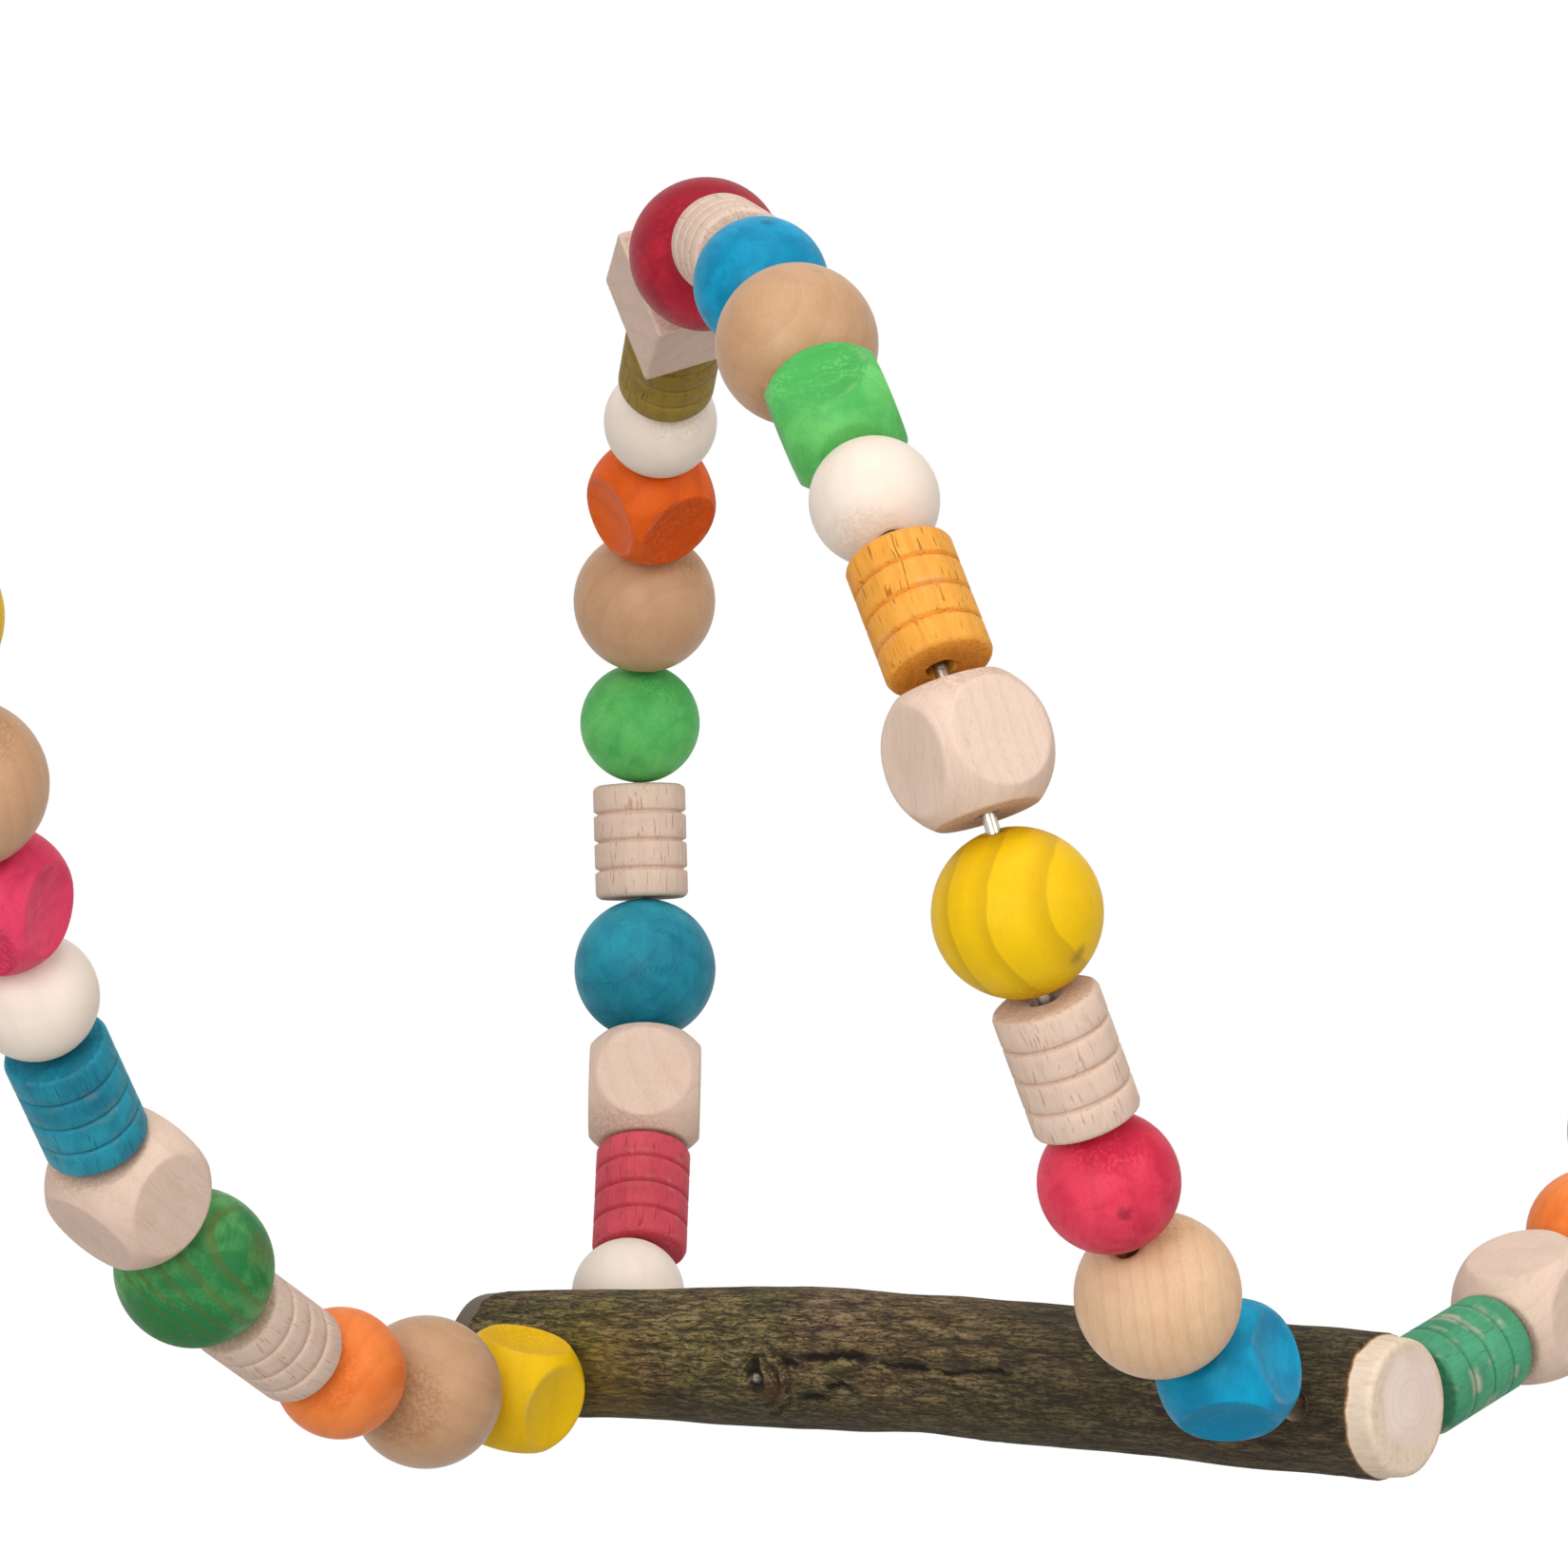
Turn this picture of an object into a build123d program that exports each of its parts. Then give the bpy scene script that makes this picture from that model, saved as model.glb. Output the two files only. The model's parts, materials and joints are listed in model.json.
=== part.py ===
from build123d import *
import math
import os

# A bird swing. One stiff wire carries wooden beads, loops once over a branch perch and hangs
# by the eyes at its two ends from a pair of quick links. Lengths are in millimetres.
# X runs from the left link to the right one, Y to the back, Z up. The origin is where a
# cage bar bears on the left link, under the top of its bow.

# Turned balls
large_ball_diameter = 25.0
medium_ball_diameter = 21.2
small_ball_diameter = 19.4

# Plain blocks: cubes with their corners rounded off to a ball
block_width = 19.4
block_length = 20.0
block_end_radius = 7.8

# A cube with its edges just eased
cube_width = 19.2
cube_edge_radius = 0.8

# Dished blocks: balls with four dished sides
dished_width = 17.4
dished_length = 20.0
dished_end_radius = 5.3
dish_depth = 0.9
dish_rim_width = 0.4

# Ribbed cylinders
ribbed_diameter = 16.4
ribbed_length = 20.0
ribbed_end_chamfer = 0.8
groove_count = 3
groove_width = 1.0
groove_depth = 0.8

# Bores of all the beads
bore_diameter = 4.4
bore_mouth_chamfer = 0.4

# The wire and the room along it
wire_diameter = 2.2
bead_clearance = 0.3
loop_slack = 4.0
arm_slack = 4.0
eye_radius = 6.0
eye_end_gap = 0.6
eye_rise_angle = 35.0

# The perch
perch_diameter = 22.0
perch_left_overhang = 24.0
perch_right_overhang = 13.0
perch_hole_diameter = 5.0
bark_thickness = 0.4
peeled_length = 4.3
peeled_taper = 0.4
left_bead_clearance = 0.8
right_bead_clearance = 9.0

# The quick links
link_rod_diameter = 3.5
link_inner_width = 10.0
link_straight_length = 24.0
link_opening = 7.0
link_opening_height = 13.0
hang_clearance = 0.3
sleeve_length = 10.0
sleeve_across_flats = 7.0
sleeve_clearance = 0.15
sleeve_chamfer = 0.5

# The wire's route from the left arm to the right arm, as shares of the loop's radius. X and Y
# are measured from the middle between the links and Z from the middle of the loop.
route_shares = (
    (-1.70, -0.59, 0.98),
    (-1.60, -1.06, 0.60),
    (-1.48, -1.15, 0.18),
    (-1.39, -0.84, -0.22),
    (-1.22, -0.46, -0.645),
    (-0.81, 0.20, -0.99),
    (-0.53, 0.59, -0.965),
    (-0.47, 0.81, -0.87),
    (-0.45, 1.06, -0.52),
    (-0.47, 1.19, 0.17),
    (-0.43, 0.75, 0.72),
    (-0.34, 0.11, 0.97),
    (-0.18, -0.55, 0.74),
    (0.01, -1.01, 0.29),
    (0.23, -1.02, -0.36),
    (0.43, -0.73, -0.79),
    (0.70, -0.40, -0.93),
    (1.10, 0.03, -0.77),
    (1.40, 0.45, -0.31),
    (1.63, 0.90, 0.18),
    (1.72, 0.87, 0.66),
    (1.75, 0.48, 1.02),
)
left_hole_row = 6
right_hole_row = 16
link_side_share = 1.74
eye_height_share = 1.12

# The beads of each string, outwards from the perch on the arms and from the left hole to the
# right hole on the loop, each with its turn about the wire as a share of a full turn.
left_arm_turn_shares = (
    ("dished", 0.04),
    ("large_ball", 0.0),
    ("medium_ball", 0.0),
    ("ribbed", 0.0),
    ("large_ball", 0.0),
    ("block", 0.10),
    ("ribbed", 0.0),
    ("small_ball", 0.0),
    ("dished", 0.06),
    ("large_ball", 0.0),
    ("large_ball", 0.0),
    ("ribbed", 0.0),
    ("medium_ball", 0.0),
    ("block", 0.03),
    ("large_ball", 0.0),
    ("ribbed", 0.0),
)
loop_turn_shares = (
    ("small_ball", 0.0),
    ("ribbed", 0.0),
    ("block", 0.0),
    ("large_ball", 0.0),
    ("ribbed", 0.0),
    ("medium_ball", 0.0),
    ("large_ball", 0.0),
    ("dished", 0.095),
    ("small_ball", 0.0),
    ("ribbed", 0.0),
    ("cube", 0.06),
    ("large_ball", 0.0),
    ("ribbed", 0.0),
    ("medium_ball", 0.0),
    ("large_ball", 0.0),
    ("dished", 0.05),
    ("small_ball", 0.0),
    ("ribbed", 0.0),
    ("block", 0.17),
    ("large_ball", 0.0),
    ("ribbed", 0.0),
    ("medium_ball", 0.0),
    ("large_ball", 0.0),
    ("dished", 0.0),
)
right_arm_turn_shares = (
    ("ribbed", 0.0),
    ("block", 0.195),
    ("medium_ball", 0.0),
    ("large_ball", 0.0),
    ("ribbed", 0.0),
    ("large_ball", 0.0),
    ("dished", 0.12),
    ("ribbed", 0.0),
    ("small_ball", 0.0),
    ("block", 0.02),
    ("large_ball", 0.0),
    ("medium_ball", 0.0),
    ("ribbed", 0.0),
    ("large_ball", 0.0),
)
# The loop's slack lies on the front leg, in shares between these beads and the next ones.
slack_rows = (15, 16, 17, 18)
slack_shares = (0.25, 0.33, 0.05, 0.37)

# The branch along the barked length: place, width, height, sideways bend and lift, as shares of
# that length and of the perch's diameter.
perch_shares = (
    (0.00, 0.98, 0.96, 0.00, 0.01),
    (0.17, 0.99, 0.99, 0.02, 0.06),
    (0.36, 1.02, 1.06, 0.04, 0.10),
    (0.50, 1.01, 1.02, 0.04, 0.11),
    (0.68, 1.02, 1.02, 0.03, 0.08),
    (0.86, 1.03, 1.03, 0.01, 0.04),
    (1.00, 1.03, 1.03, 0.00, 0.01),
)

# Sizes that follow from those above
wire_radius = wire_diameter / 2
bore_radius = bore_diameter / 2
mouth_radius = bore_radius + bore_mouth_chamfer
link_rod_radius = link_rod_diameter / 2
link_bow_radius = link_inner_width / 2 + link_rod_radius
pivot_height = link_rod_radius - 2 * link_bow_radius - link_straight_length
eye_drop = eye_radius - wire_radius - hang_clearance - link_rod_radius
eye_rise = math.radians(eye_rise_angle)
block_round_radius = math.hypot(block_length / 2, block_end_radius)
dished_round_radius = math.hypot(dished_length / 2, dished_end_radius)
dish_rim_radius = math.sqrt(dished_round_radius**2 - (dished_width / 2) ** 2) - dish_rim_width
dish_radius = (dish_rim_radius**2 + dish_depth**2) / (2 * dish_depth)

# Half the length of each kind of bead on the wire, and the radius of the rim of its flat ends
half_length = {
    "large_ball": large_ball_diameter / 2,
    "medium_ball": medium_ball_diameter / 2,
    "small_ball": small_ball_diameter / 2,
    "block": block_length / 2,
    "cube": cube_width / 2,
    "dished": dished_length / 2,
    "ribbed": ribbed_length / 2,
}
end_rim = {
    "large_ball": 0,
    "medium_ball": 0,
    "small_ball": 0,
    "block": block_end_radius,
    "cube": cube_width / 2,
    "dished": dished_end_radius,
    "ribbed": ribbed_diameter / 2 - ribbed_end_chamfer,
}


def route_points(radius):
    """The points that the wire passes through, from the left eye to the right eye."""
    middle = link_side_share * radius
    eye_foot_height = pivot_height - eye_drop - eye_radius * math.cos(eye_rise)
    loop_middle = eye_foot_height - eye_height_share * radius
    eye_side = eye_radius * math.sin(eye_rise)
    rows = [
        Vector(middle + x * radius, y * radius, loop_middle + z * radius)
        for x, y, z in route_shares
    ]
    first = Vector(0, eye_side, eye_foot_height)
    last = Vector(2 * middle, -eye_side, eye_foot_height)
    return [first] + rows + [last]


def route_tangents(points):
    """The wire's direction at each point, as on the circle through it and its two neighbours."""
    tangents = [Vector(0, -math.cos(eye_rise), -math.sin(eye_rise))]
    for before, here, after in zip(points, points[1:], points[2:]):
        back = here - before
        ahead = after - here
        tangents.append((back * (1 / back.dot(back)) + ahead * (1 / ahead.dot(ahead))).normalized())
    tangents.append(Vector(0, -math.cos(eye_rise), math.sin(eye_rise)))
    return tangents


def route_arcs(radius):
    """Pairs of tangent arcs from point to point, so that the wire bends smoothly all the way."""
    points = route_points(radius)
    tangents = route_tangents(points)
    arcs = []
    for start, end, leave, arrive in zip(points, points[1:], tangents, tangents[1:]):
        chord = end - start
        along = chord.dot(leave + arrive)
        turn = 2 * (1 - leave.dot(arrive))
        reach = (math.sqrt(along**2 + turn * chord.dot(chord)) - along) / turn
        near = start + leave * reach
        far = end - arrive * reach
        joint = (near + far) * 0.5
        arcs.append(TangentArc(start, joint, tangent=leave, mode=Mode.PRIVATE))
        arcs.append(TangentArc(joint, end, tangent=far - near, mode=Mode.PRIVATE))
    return arcs


class Route:
    """The wire's centre line, with places on it given by their distance along it."""

    def __init__(self, radius):
        self.arcs = route_arcs(radius)
        self.starts = [0]
        for arc in self.arcs:
            self.starts.append(self.starts[-1] + arc.length)
        self.length = self.starts[-1]
        self.left_hole = self.starts[2 * (left_hole_row + 1)]
        self.right_hole = self.starts[2 * (right_hole_row + 1)]

    def arc_at(self, distance):
        row = 0
        while row < len(self.arcs) - 1 and distance > self.starts[row + 1]:
            row += 1
        return self.arcs[row], (distance - self.starts[row]) / self.arcs[row].length

    def point(self, distance):
        arc, share = self.arc_at(distance)
        return arc.position_at(share)

    def tangent(self, distance):
        arc, share = self.arc_at(distance)
        return arc.tangent_at(share)


def bend_between(route, one, other):
    """The angle in radians by which the wire turns between two places."""
    turn = route.tangent(one).dot(route.tangent(other))
    return math.acos(max(-1, min(1, turn)))


def tilt_between(route, place, kind, next_place, next_kind):
    """The angle in radians between the bores of two beads, each lying along its own stretch of wire."""
    bores = [
        (route.point(middle + half) - route.point(middle - half)).normalized()
        for middle, half in ((place, half_length[kind]), (next_place, half_length[next_kind]))
    ]
    return math.acos(max(-1, min(1, bores[0].dot(bores[1]))))


def bead_pitch(route, place, step, kind, next_kind):
    """The distance along the wire from one bead's middle to the next one's."""
    reach = half_length[kind] + half_length[next_kind] + bead_clearance
    bend = bend_between(route, place, place + step * reach)
    if not bend:
        return reach
    # the beads sit a little inside the bend, which draws them together
    reach *= 1 + (bend / 4) ** 2
    if end_rim[kind] and end_rim[next_kind]:
        rims = end_rim[kind] + end_rim[next_kind]
        tilt = max(bend, tilt_between(route, place, kind, place + step * reach, next_kind))
        chord = reach * math.cos(tilt / 2) + rims * math.sin(tilt / 2)
        return chord * bend / 2 / math.sin(bend / 2)
    if end_rim[kind] or end_rim[next_kind]:
        return reach * bend / math.sin(bend)
    return reach * bend / 2 / math.sin(bend / 2)


def perch_pitch(route, hole, step, kind):
    """The distance along the wire from a hole's middle to the first bead's middle beside the perch."""
    lie = (route.point(route.right_hole) - route.point(route.left_hole)).normalized()
    slant = abs(route.tangent(hole + step * half_length[kind]).dot(lie))
    square = math.sqrt(1 - slant**2)
    clear = perch_diameter / 2 + (left_bead_clearance if hole == route.left_hole else right_bead_clearance)
    if end_rim[kind]:
        return half_length[kind] + (clear + end_rim[kind] * slant) / square
    return (half_length[kind] + clear) / square


def bead_places(route, hole, step, kinds):
    """The distance along the wire of each bead of a string that starts beside the perch."""
    places = [hole + step * perch_pitch(route, hole, step, kinds[0])]
    for kind, next_kind in zip(kinds, kinds[1:]):
        places.append(places[-1] + step * bead_pitch(route, places[-1], step, kind, next_kind))
    return places


left_kinds = [kind for kind, turn in left_arm_turn_shares]
loop_kinds = [kind for kind, turn in loop_turn_shares]
right_kinds = [kind for kind, turn in right_arm_turn_shares]


def fit_ratio(route):
    """How much longer the wire has to be for its fullest string, as a ratio."""
    left_end = bead_places(route, route.left_hole, -1, left_kinds)[-1] - half_length[left_kinds[-1]]
    left_need = route.left_hole - left_end + arm_slack
    right_end = bead_places(route, route.right_hole, 1, right_kinds)[-1] + half_length[right_kinds[-1]]
    right_need = right_end - route.right_hole + arm_slack
    loop_end = bead_places(route, route.left_hole, 1, loop_kinds)[-1]
    loop_need = loop_end - route.left_hole + loop_slack
    loop_need += perch_pitch(route, route.right_hole, -1, loop_kinds[-1])
    return max(
        left_need / route.left_hole,
        right_need / (route.length - route.right_hole),
        loop_need / (route.right_hole - route.left_hole),
    )


# The loop is as large as its beads need: a first radius from the beads' lengths alone, then a
# few corrections on the real route.
loop_radius = sum(2 * half_length[kind] for kind in loop_kinds) / (2 * math.pi)
for correction in range(6):
    route = Route(loop_radius)
    loop_radius = loop_radius * fit_ratio(route)
route = Route(loop_radius)

left_places = bead_places(route, route.left_hole, -1, left_kinds)
right_places = bead_places(route, route.right_hole, 1, right_kinds)
last_rising = slack_rows[-1]
rising_places = bead_places(route, route.left_hole, 1, loop_kinds[: last_rising + 1])
falling_places = bead_places(route, route.right_hole, -1, loop_kinds[:last_rising:-1])[::-1]
touching = bead_pitch(route, rising_places[-1], 1, loop_kinds[last_rising], loop_kinds[last_rising + 1])
spare = falling_places[0] - rising_places[-1] - touching
for row, share in zip(slack_rows, slack_shares):
    for later in range(row + 1, last_rising + 1):
        rising_places[later] += share * spare
loop_places = rising_places + falling_places


def seat_plane(distance, half, turn_share):
    """A bead's own plane: Z along its bore, turned about it from the X side."""
    before = route.point(distance - half)
    after = route.point(distance + half)
    # the bend of the wire inside the bore is shared by its middle and its ends
    middle = (route.point(distance) * 2 + before + after) * 0.25
    along = (after - before).normalized()
    side = Vector(1, 0, 0)
    side = (side - along * side.dot(along)).normalized()
    turn = 2 * math.pi * turn_share
    side = side * math.cos(turn) + along.cross(side) * math.sin(turn)
    return Plane(origin=middle, x_dir=side, z_dir=along)


def side_plane(seat):
    """The plane through a bead's bore, with its first axis outwards and its second along the bore."""
    return Plane(origin=seat.origin, x_dir=seat.x_dir, z_dir=seat.y_dir * -1)


def bore_axis(seat):
    return Axis(seat.origin, seat.z_dir)


def ball(seat, diameter):
    radius = diameter / 2
    mouth = math.sqrt(radius**2 - mouth_radius**2)
    with BuildPart() as bead:
        with BuildSketch(side_plane(seat)):
            with BuildLine():
                ThreePointArc((mouth_radius, -mouth), (radius, 0), (mouth_radius, mouth))
                Polyline(
                    (mouth_radius, mouth),
                    (bore_radius, mouth - bore_mouth_chamfer),
                    (bore_radius, bore_mouth_chamfer - mouth),
                    (mouth_radius, -mouth),
                )
            make_face()
        revolve(axis=bore_axis(seat))
    return bead


def ribbed(seat):
    radius = ribbed_diameter / 2
    half = ribbed_length / 2
    grooves = []
    for number in range(groove_count):
        height = ribbed_length * (number + 1) / (groove_count + 1) - half
        grooves.append((radius, height - groove_width / 2))
        grooves.append((radius - groove_depth, height))
        grooves.append((radius, height + groove_width / 2))
    with BuildPart() as bead:
        with BuildSketch(side_plane(seat)):
            with BuildLine():
                Polyline(
                    (bore_radius, bore_mouth_chamfer - half),
                    (mouth_radius, -half),
                    (radius - ribbed_end_chamfer, -half),
                    (radius, ribbed_end_chamfer - half),
                    *grooves,
                    (radius, half - ribbed_end_chamfer),
                    (radius - ribbed_end_chamfer, half),
                    (mouth_radius, half),
                    (bore_radius, half - bore_mouth_chamfer),
                    close=True,
                )
            make_face()
        revolve(axis=bore_axis(seat))
    return bead


def bore_sketch(seat, half):
    """The bore with its countersunk mouths, as a profile to be turned."""
    with BuildSketch(side_plane(seat)) as bore:
        with BuildLine():
            Polyline(
                (0, -half),
                (mouth_radius, -half),
                (bore_radius, bore_mouth_chamfer - half),
                (bore_radius, half - bore_mouth_chamfer),
                (mouth_radius, half),
                (0, half),
                close=True,
            )
        make_face()
    return bore.sketch


def block(seat):
    bore = bore_sketch(seat, block_length / 2)
    with BuildPart(seat) as bead:
        Box(block_width, block_width, block_length)
        Sphere(block_round_radius, mode=Mode.INTERSECT)
        revolve(bore, axis=bore_axis(seat), mode=Mode.SUBTRACT)
    return bead


def cube(seat):
    bore = bore_sketch(seat, cube_width / 2)
    with BuildPart(seat) as bead:
        Box(cube_width, cube_width, cube_width)
        fillet(bead.edges(), cube_edge_radius)
        revolve(bore, axis=bore_axis(seat), mode=Mode.SUBTRACT)
    return bead


def dished(seat):
    bore = bore_sketch(seat, dished_length / 2)
    dish_centre = dished_width / 2 - dish_depth + dish_radius
    with BuildPart(seat) as bead:
        Box(dished_width, dished_width, dished_length)
        Sphere(dished_round_radius, mode=Mode.INTERSECT)
        with PolarLocations(dish_centre, 4):
            Sphere(dish_radius, mode=Mode.SUBTRACT)
        revolve(bore, axis=bore_axis(seat), mode=Mode.SUBTRACT)
    return bead


os.makedirs("parts", exist_ok=True)

# The beads
strings = (
    ("left_bead", left_places, left_arm_turn_shares),
    ("loop_bead", loop_places, loop_turn_shares),
    ("right_bead", right_places, right_arm_turn_shares),
)
for string, places, turns in strings:
    for number, (place, (kind, turn)) in enumerate(zip(places, turns), start=1):
        seat = seat_plane(place, half_length[kind], turn)
        if kind == "large_ball":
            bead = ball(seat, large_ball_diameter)
        elif kind == "medium_ball":
            bead = ball(seat, medium_ball_diameter)
        elif kind == "small_ball":
            bead = ball(seat, small_ball_diameter)
        elif kind == "ribbed":
            bead = ribbed(seat)
        elif kind == "block":
            bead = block(seat)
        elif kind == "cube":
            bead = cube(seat)
        else:
            bead = dished(seat)
        bead.part.label = f"{string}_{number:02d}"
        export_step(bead.part, f"parts/{string}_{number:02d}.step")

# The wire, with an eye curled up at each end
points = route_points(loop_radius)
eye_sweep = 2 * math.pi - 2 * math.asin((wire_diameter + eye_end_gap) / (2 * eye_radius))
with BuildPart() as frame_wire:
    with BuildLine() as centre_line:
        for foot, out in ((points[0], 1), (points[-1], -1)):
            ahead = Vector(0, out * math.cos(eye_rise), math.sin(eye_rise))
            up = Vector(0, -out * math.sin(eye_rise), math.cos(eye_rise))
            centre = foot + up * eye_radius
            curl = [
                centre + (ahead * math.sin(turn) - up * math.cos(turn)) * eye_radius
                for turn in (0, eye_sweep / 2, eye_sweep)
            ]
            if out == 1:
                ThreePointArc(curl[2], curl[1], curl[0])
                for arc in route.arcs:
                    add(arc)
            else:
                ThreePointArc(curl[0], curl[1], curl[2])
    tip = centre_line.wires()[0]
    with BuildSketch(Plane(origin=tip @ 0, z_dir=tip % 0)):
        Circle(wire_radius)
    sweep(path=tip)
frame_wire.part.label = "frame_wire"
export_step(frame_wire.part, "parts/frame_wire.step")

# The perch, a branch with its bark peeled back at both ends, drilled across along the wire
left_hole = route.point(route.left_hole)
right_hole = route.point(route.right_hole)
lie = (right_hole - left_hole).normalized()
perch_length = (right_hole - left_hole).length + perch_left_overhang + perch_right_overhang
perch_start = left_hole - lie * perch_left_overhang
perch_side = Vector(0, 0, 1).cross(lie).normalized()
perch_up = lie.cross(perch_side)
barked_length = perch_length - 2 * peeled_length


def perch_plane(distance, bend, lift):
    """The plane across the branch at a distance along it."""
    aside = perch_side * (bend * perch_diameter)
    above = perch_up * (lift * perch_diameter)
    return Plane(origin=perch_start + lie * distance + aside + above, x_dir=perch_side, z_dir=lie)


with BuildPart() as perch:
    for place, width, height, bend, lift in perch_shares:
        with BuildSketch(perch_plane(peeled_length + place * barked_length, bend, lift)):
            Ellipse(width * perch_diameter / 2, height * perch_diameter / 2)
    loft()
    for row, edge, end in ((0, peeled_length, 0), (-1, perch_length - peeled_length, perch_length)):
        place, width, height, bend, lift = perch_shares[row]
        for distance, depth in ((edge, bark_thickness), (end, bark_thickness + peeled_taper)):
            with BuildSketch(perch_plane(distance, bend, lift)):
                Ellipse(width * perch_diameter / 2 - depth, height * perch_diameter / 2 - depth)
        loft(ruled=True)
    for hole, way in (
        (left_hole, route.tangent(route.left_hole)),
        (right_hole, route.tangent(route.right_hole)),
    ):
        with BuildSketch(Plane(origin=hole, z_dir=way)):
            Circle(perch_hole_diameter / 2)
        extrude(amount=perch_diameter, both=True, mode=Mode.SUBTRACT)
perch.part.label = "perch"
export_step(perch.part, "parts/perch.step")

# The quick links, each with its opening on the outer side and a six-sided sleeve over it
link_bottom = pivot_height + link_bow_radius
link_top = link_bottom + link_straight_length
opening_bottom = link_bottom + link_opening_height
opening_top = opening_bottom + link_opening
sleeve_overlap = (sleeve_length - link_opening) / 2
span = 2 * link_side_share * loop_radius
for name, place, out in (("left", 0, -1), ("right", span, 1)):
    with BuildPart() as link:
        with BuildLine(Plane.XZ) as rod:
            outer = place + out * link_bow_radius
            inner = place - out * link_bow_radius
            Line((outer, opening_bottom), (outer, link_bottom))
            ThreePointArc((outer, link_bottom), (place, pivot_height), (inner, link_bottom))
            Line((inner, link_bottom), (inner, link_top))
            ThreePointArc((inner, link_top), (place, link_rod_radius), (outer, link_top))
            Line((outer, link_top), (outer, opening_top))
        with BuildSketch(Plane.XY.offset(opening_bottom)):
            with Locations((outer, 0)):
                Circle(link_rod_radius)
        sweep(path=rod.wires()[0])
    link.part.label = f"{name}_link"
    export_step(link.part, f"parts/{name}_link.step")

    with BuildPart() as sleeve:
        with BuildSketch(Plane.XY.offset(opening_bottom - sleeve_overlap)):
            with Locations((outer, 0)):
                RegularPolygon(sleeve_across_flats / 2, 6, major_radius=False)
                Circle(link_rod_radius + sleeve_clearance, mode=Mode.SUBTRACT)
        extrude(amount=sleeve_length)
        ends = sleeve.faces().sort_by(Axis.Z)
        chamfer(ends[0].outer_wire().edges() + ends[-1].outer_wire().edges(), sleeve_chamfer)
    sleeve.part.label = f"{name}_link_sleeve"
    export_step(sleeve.part, f"parts/{name}_link_sleeve.step")

print(f"loop radius {loop_radius:.1f}, links {span:.1f} apart, perch {perch_length:.1f} long")
print(f"wire {route.length:.0f} long, tightest bend {min(arc.radius for arc in route.arcs):.0f}")
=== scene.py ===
# %% [markdown]
# # A bird swing of wooden beads on a wire
# A stiff wire carries turned beads, loops once over a branch perch and hangs from two links. The
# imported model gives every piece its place, in metres. This lesson dresses those pieces: it turns
# finer beads, grows bark on the perch, and gives each wood and metal its own finish.

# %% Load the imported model
import json
import math

import bpy
import numpy as np
from mathutils import Matrix, Vector, noise


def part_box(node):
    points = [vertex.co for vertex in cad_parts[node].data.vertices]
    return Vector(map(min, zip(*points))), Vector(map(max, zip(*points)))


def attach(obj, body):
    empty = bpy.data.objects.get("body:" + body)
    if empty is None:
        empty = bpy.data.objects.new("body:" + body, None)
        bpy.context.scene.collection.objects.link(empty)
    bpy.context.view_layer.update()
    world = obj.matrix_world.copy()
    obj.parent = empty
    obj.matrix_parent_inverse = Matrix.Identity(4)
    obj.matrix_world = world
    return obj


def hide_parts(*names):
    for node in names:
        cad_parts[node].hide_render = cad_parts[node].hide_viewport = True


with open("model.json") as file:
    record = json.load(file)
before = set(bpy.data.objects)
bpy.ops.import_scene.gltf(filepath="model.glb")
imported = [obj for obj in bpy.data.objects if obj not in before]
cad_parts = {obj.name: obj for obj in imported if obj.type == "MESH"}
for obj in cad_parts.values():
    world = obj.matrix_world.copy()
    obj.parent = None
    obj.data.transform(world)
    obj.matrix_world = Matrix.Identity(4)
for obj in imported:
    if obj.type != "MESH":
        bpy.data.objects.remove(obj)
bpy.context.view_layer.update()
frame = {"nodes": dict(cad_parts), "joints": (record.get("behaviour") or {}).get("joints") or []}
nodes = frame["nodes"]
joints = {joint["child"]: joint for joint in frame["joints"]}
scene = bpy.context.scene
mm = 0.001

# %% [markdown]
# ## The camera
# The picture was taken with a long lens from straight in front, almost level with the middle of
# the loop. A camera's own axes are the picture's right, the picture's up and the way back to the
# photographer, so its matrix is built from those three directions.

# %% Place the camera
camera_place = Vector((0.14074, -1.02463, -0.13719))
camera_turn = math.radians(0.277)
camera_tilt = math.radians(-0.376)
camera_roll = math.radians(0.695)
camera_lens = 147.47

ahead = Vector((
    math.sin(camera_turn) * math.cos(camera_tilt),
    math.cos(camera_turn) * math.cos(camera_tilt),
    math.sin(camera_tilt),
))
level_right = ahead.cross(Vector((0, 0, 1))).normalized()
level_up = level_right.cross(ahead)
picture_right = level_right * math.cos(camera_roll) + level_up * math.sin(camera_roll)
picture_up = level_up * math.cos(camera_roll) - level_right * math.sin(camera_roll)

camera_data = bpy.data.cameras.new("camera")
camera_data.lens = camera_lens
camera_data.sensor_width = 36.0
camera = bpy.data.objects.new("camera", camera_data)
scene.collection.objects.link(camera)
camera.matrix_world = Matrix.Translation(camera_place) @ Matrix(
    (picture_right, picture_up, -ahead)
).transposed().to_4x4()
scene.camera = camera
print("camera", [round(value, 3) for value in camera_place], "lens", camera_lens)

# %% [markdown]
# ## Floor, backdrop and light
# The swing hangs, so the floor lies well below it. Camera rays see a plain white floor and world,
# and so do mirror rays, while the light on the wood comes from a soft sky and three large lamps:
# one overhead, one in front and a little to the left, and a weak one from the right. World and
# materials are nets of nodes, and one helper adds a node and sets or links its inputs.

# %% Make the white world
def put(tree, kind, inputs=None, **settings):
    """Adds a node with its settings; an input is linked if it is a socket, and set if it is a value."""
    made = tree.nodes.new(kind)
    for name, value in settings.items():
        setattr(made, name, value)
    for name, value in (inputs or {}).items():
        if isinstance(value, bpy.types.NodeSocket):
            tree.links.new(value, made.inputs[name])
        else:
            made.inputs[name].default_value = value
    return made


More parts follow.
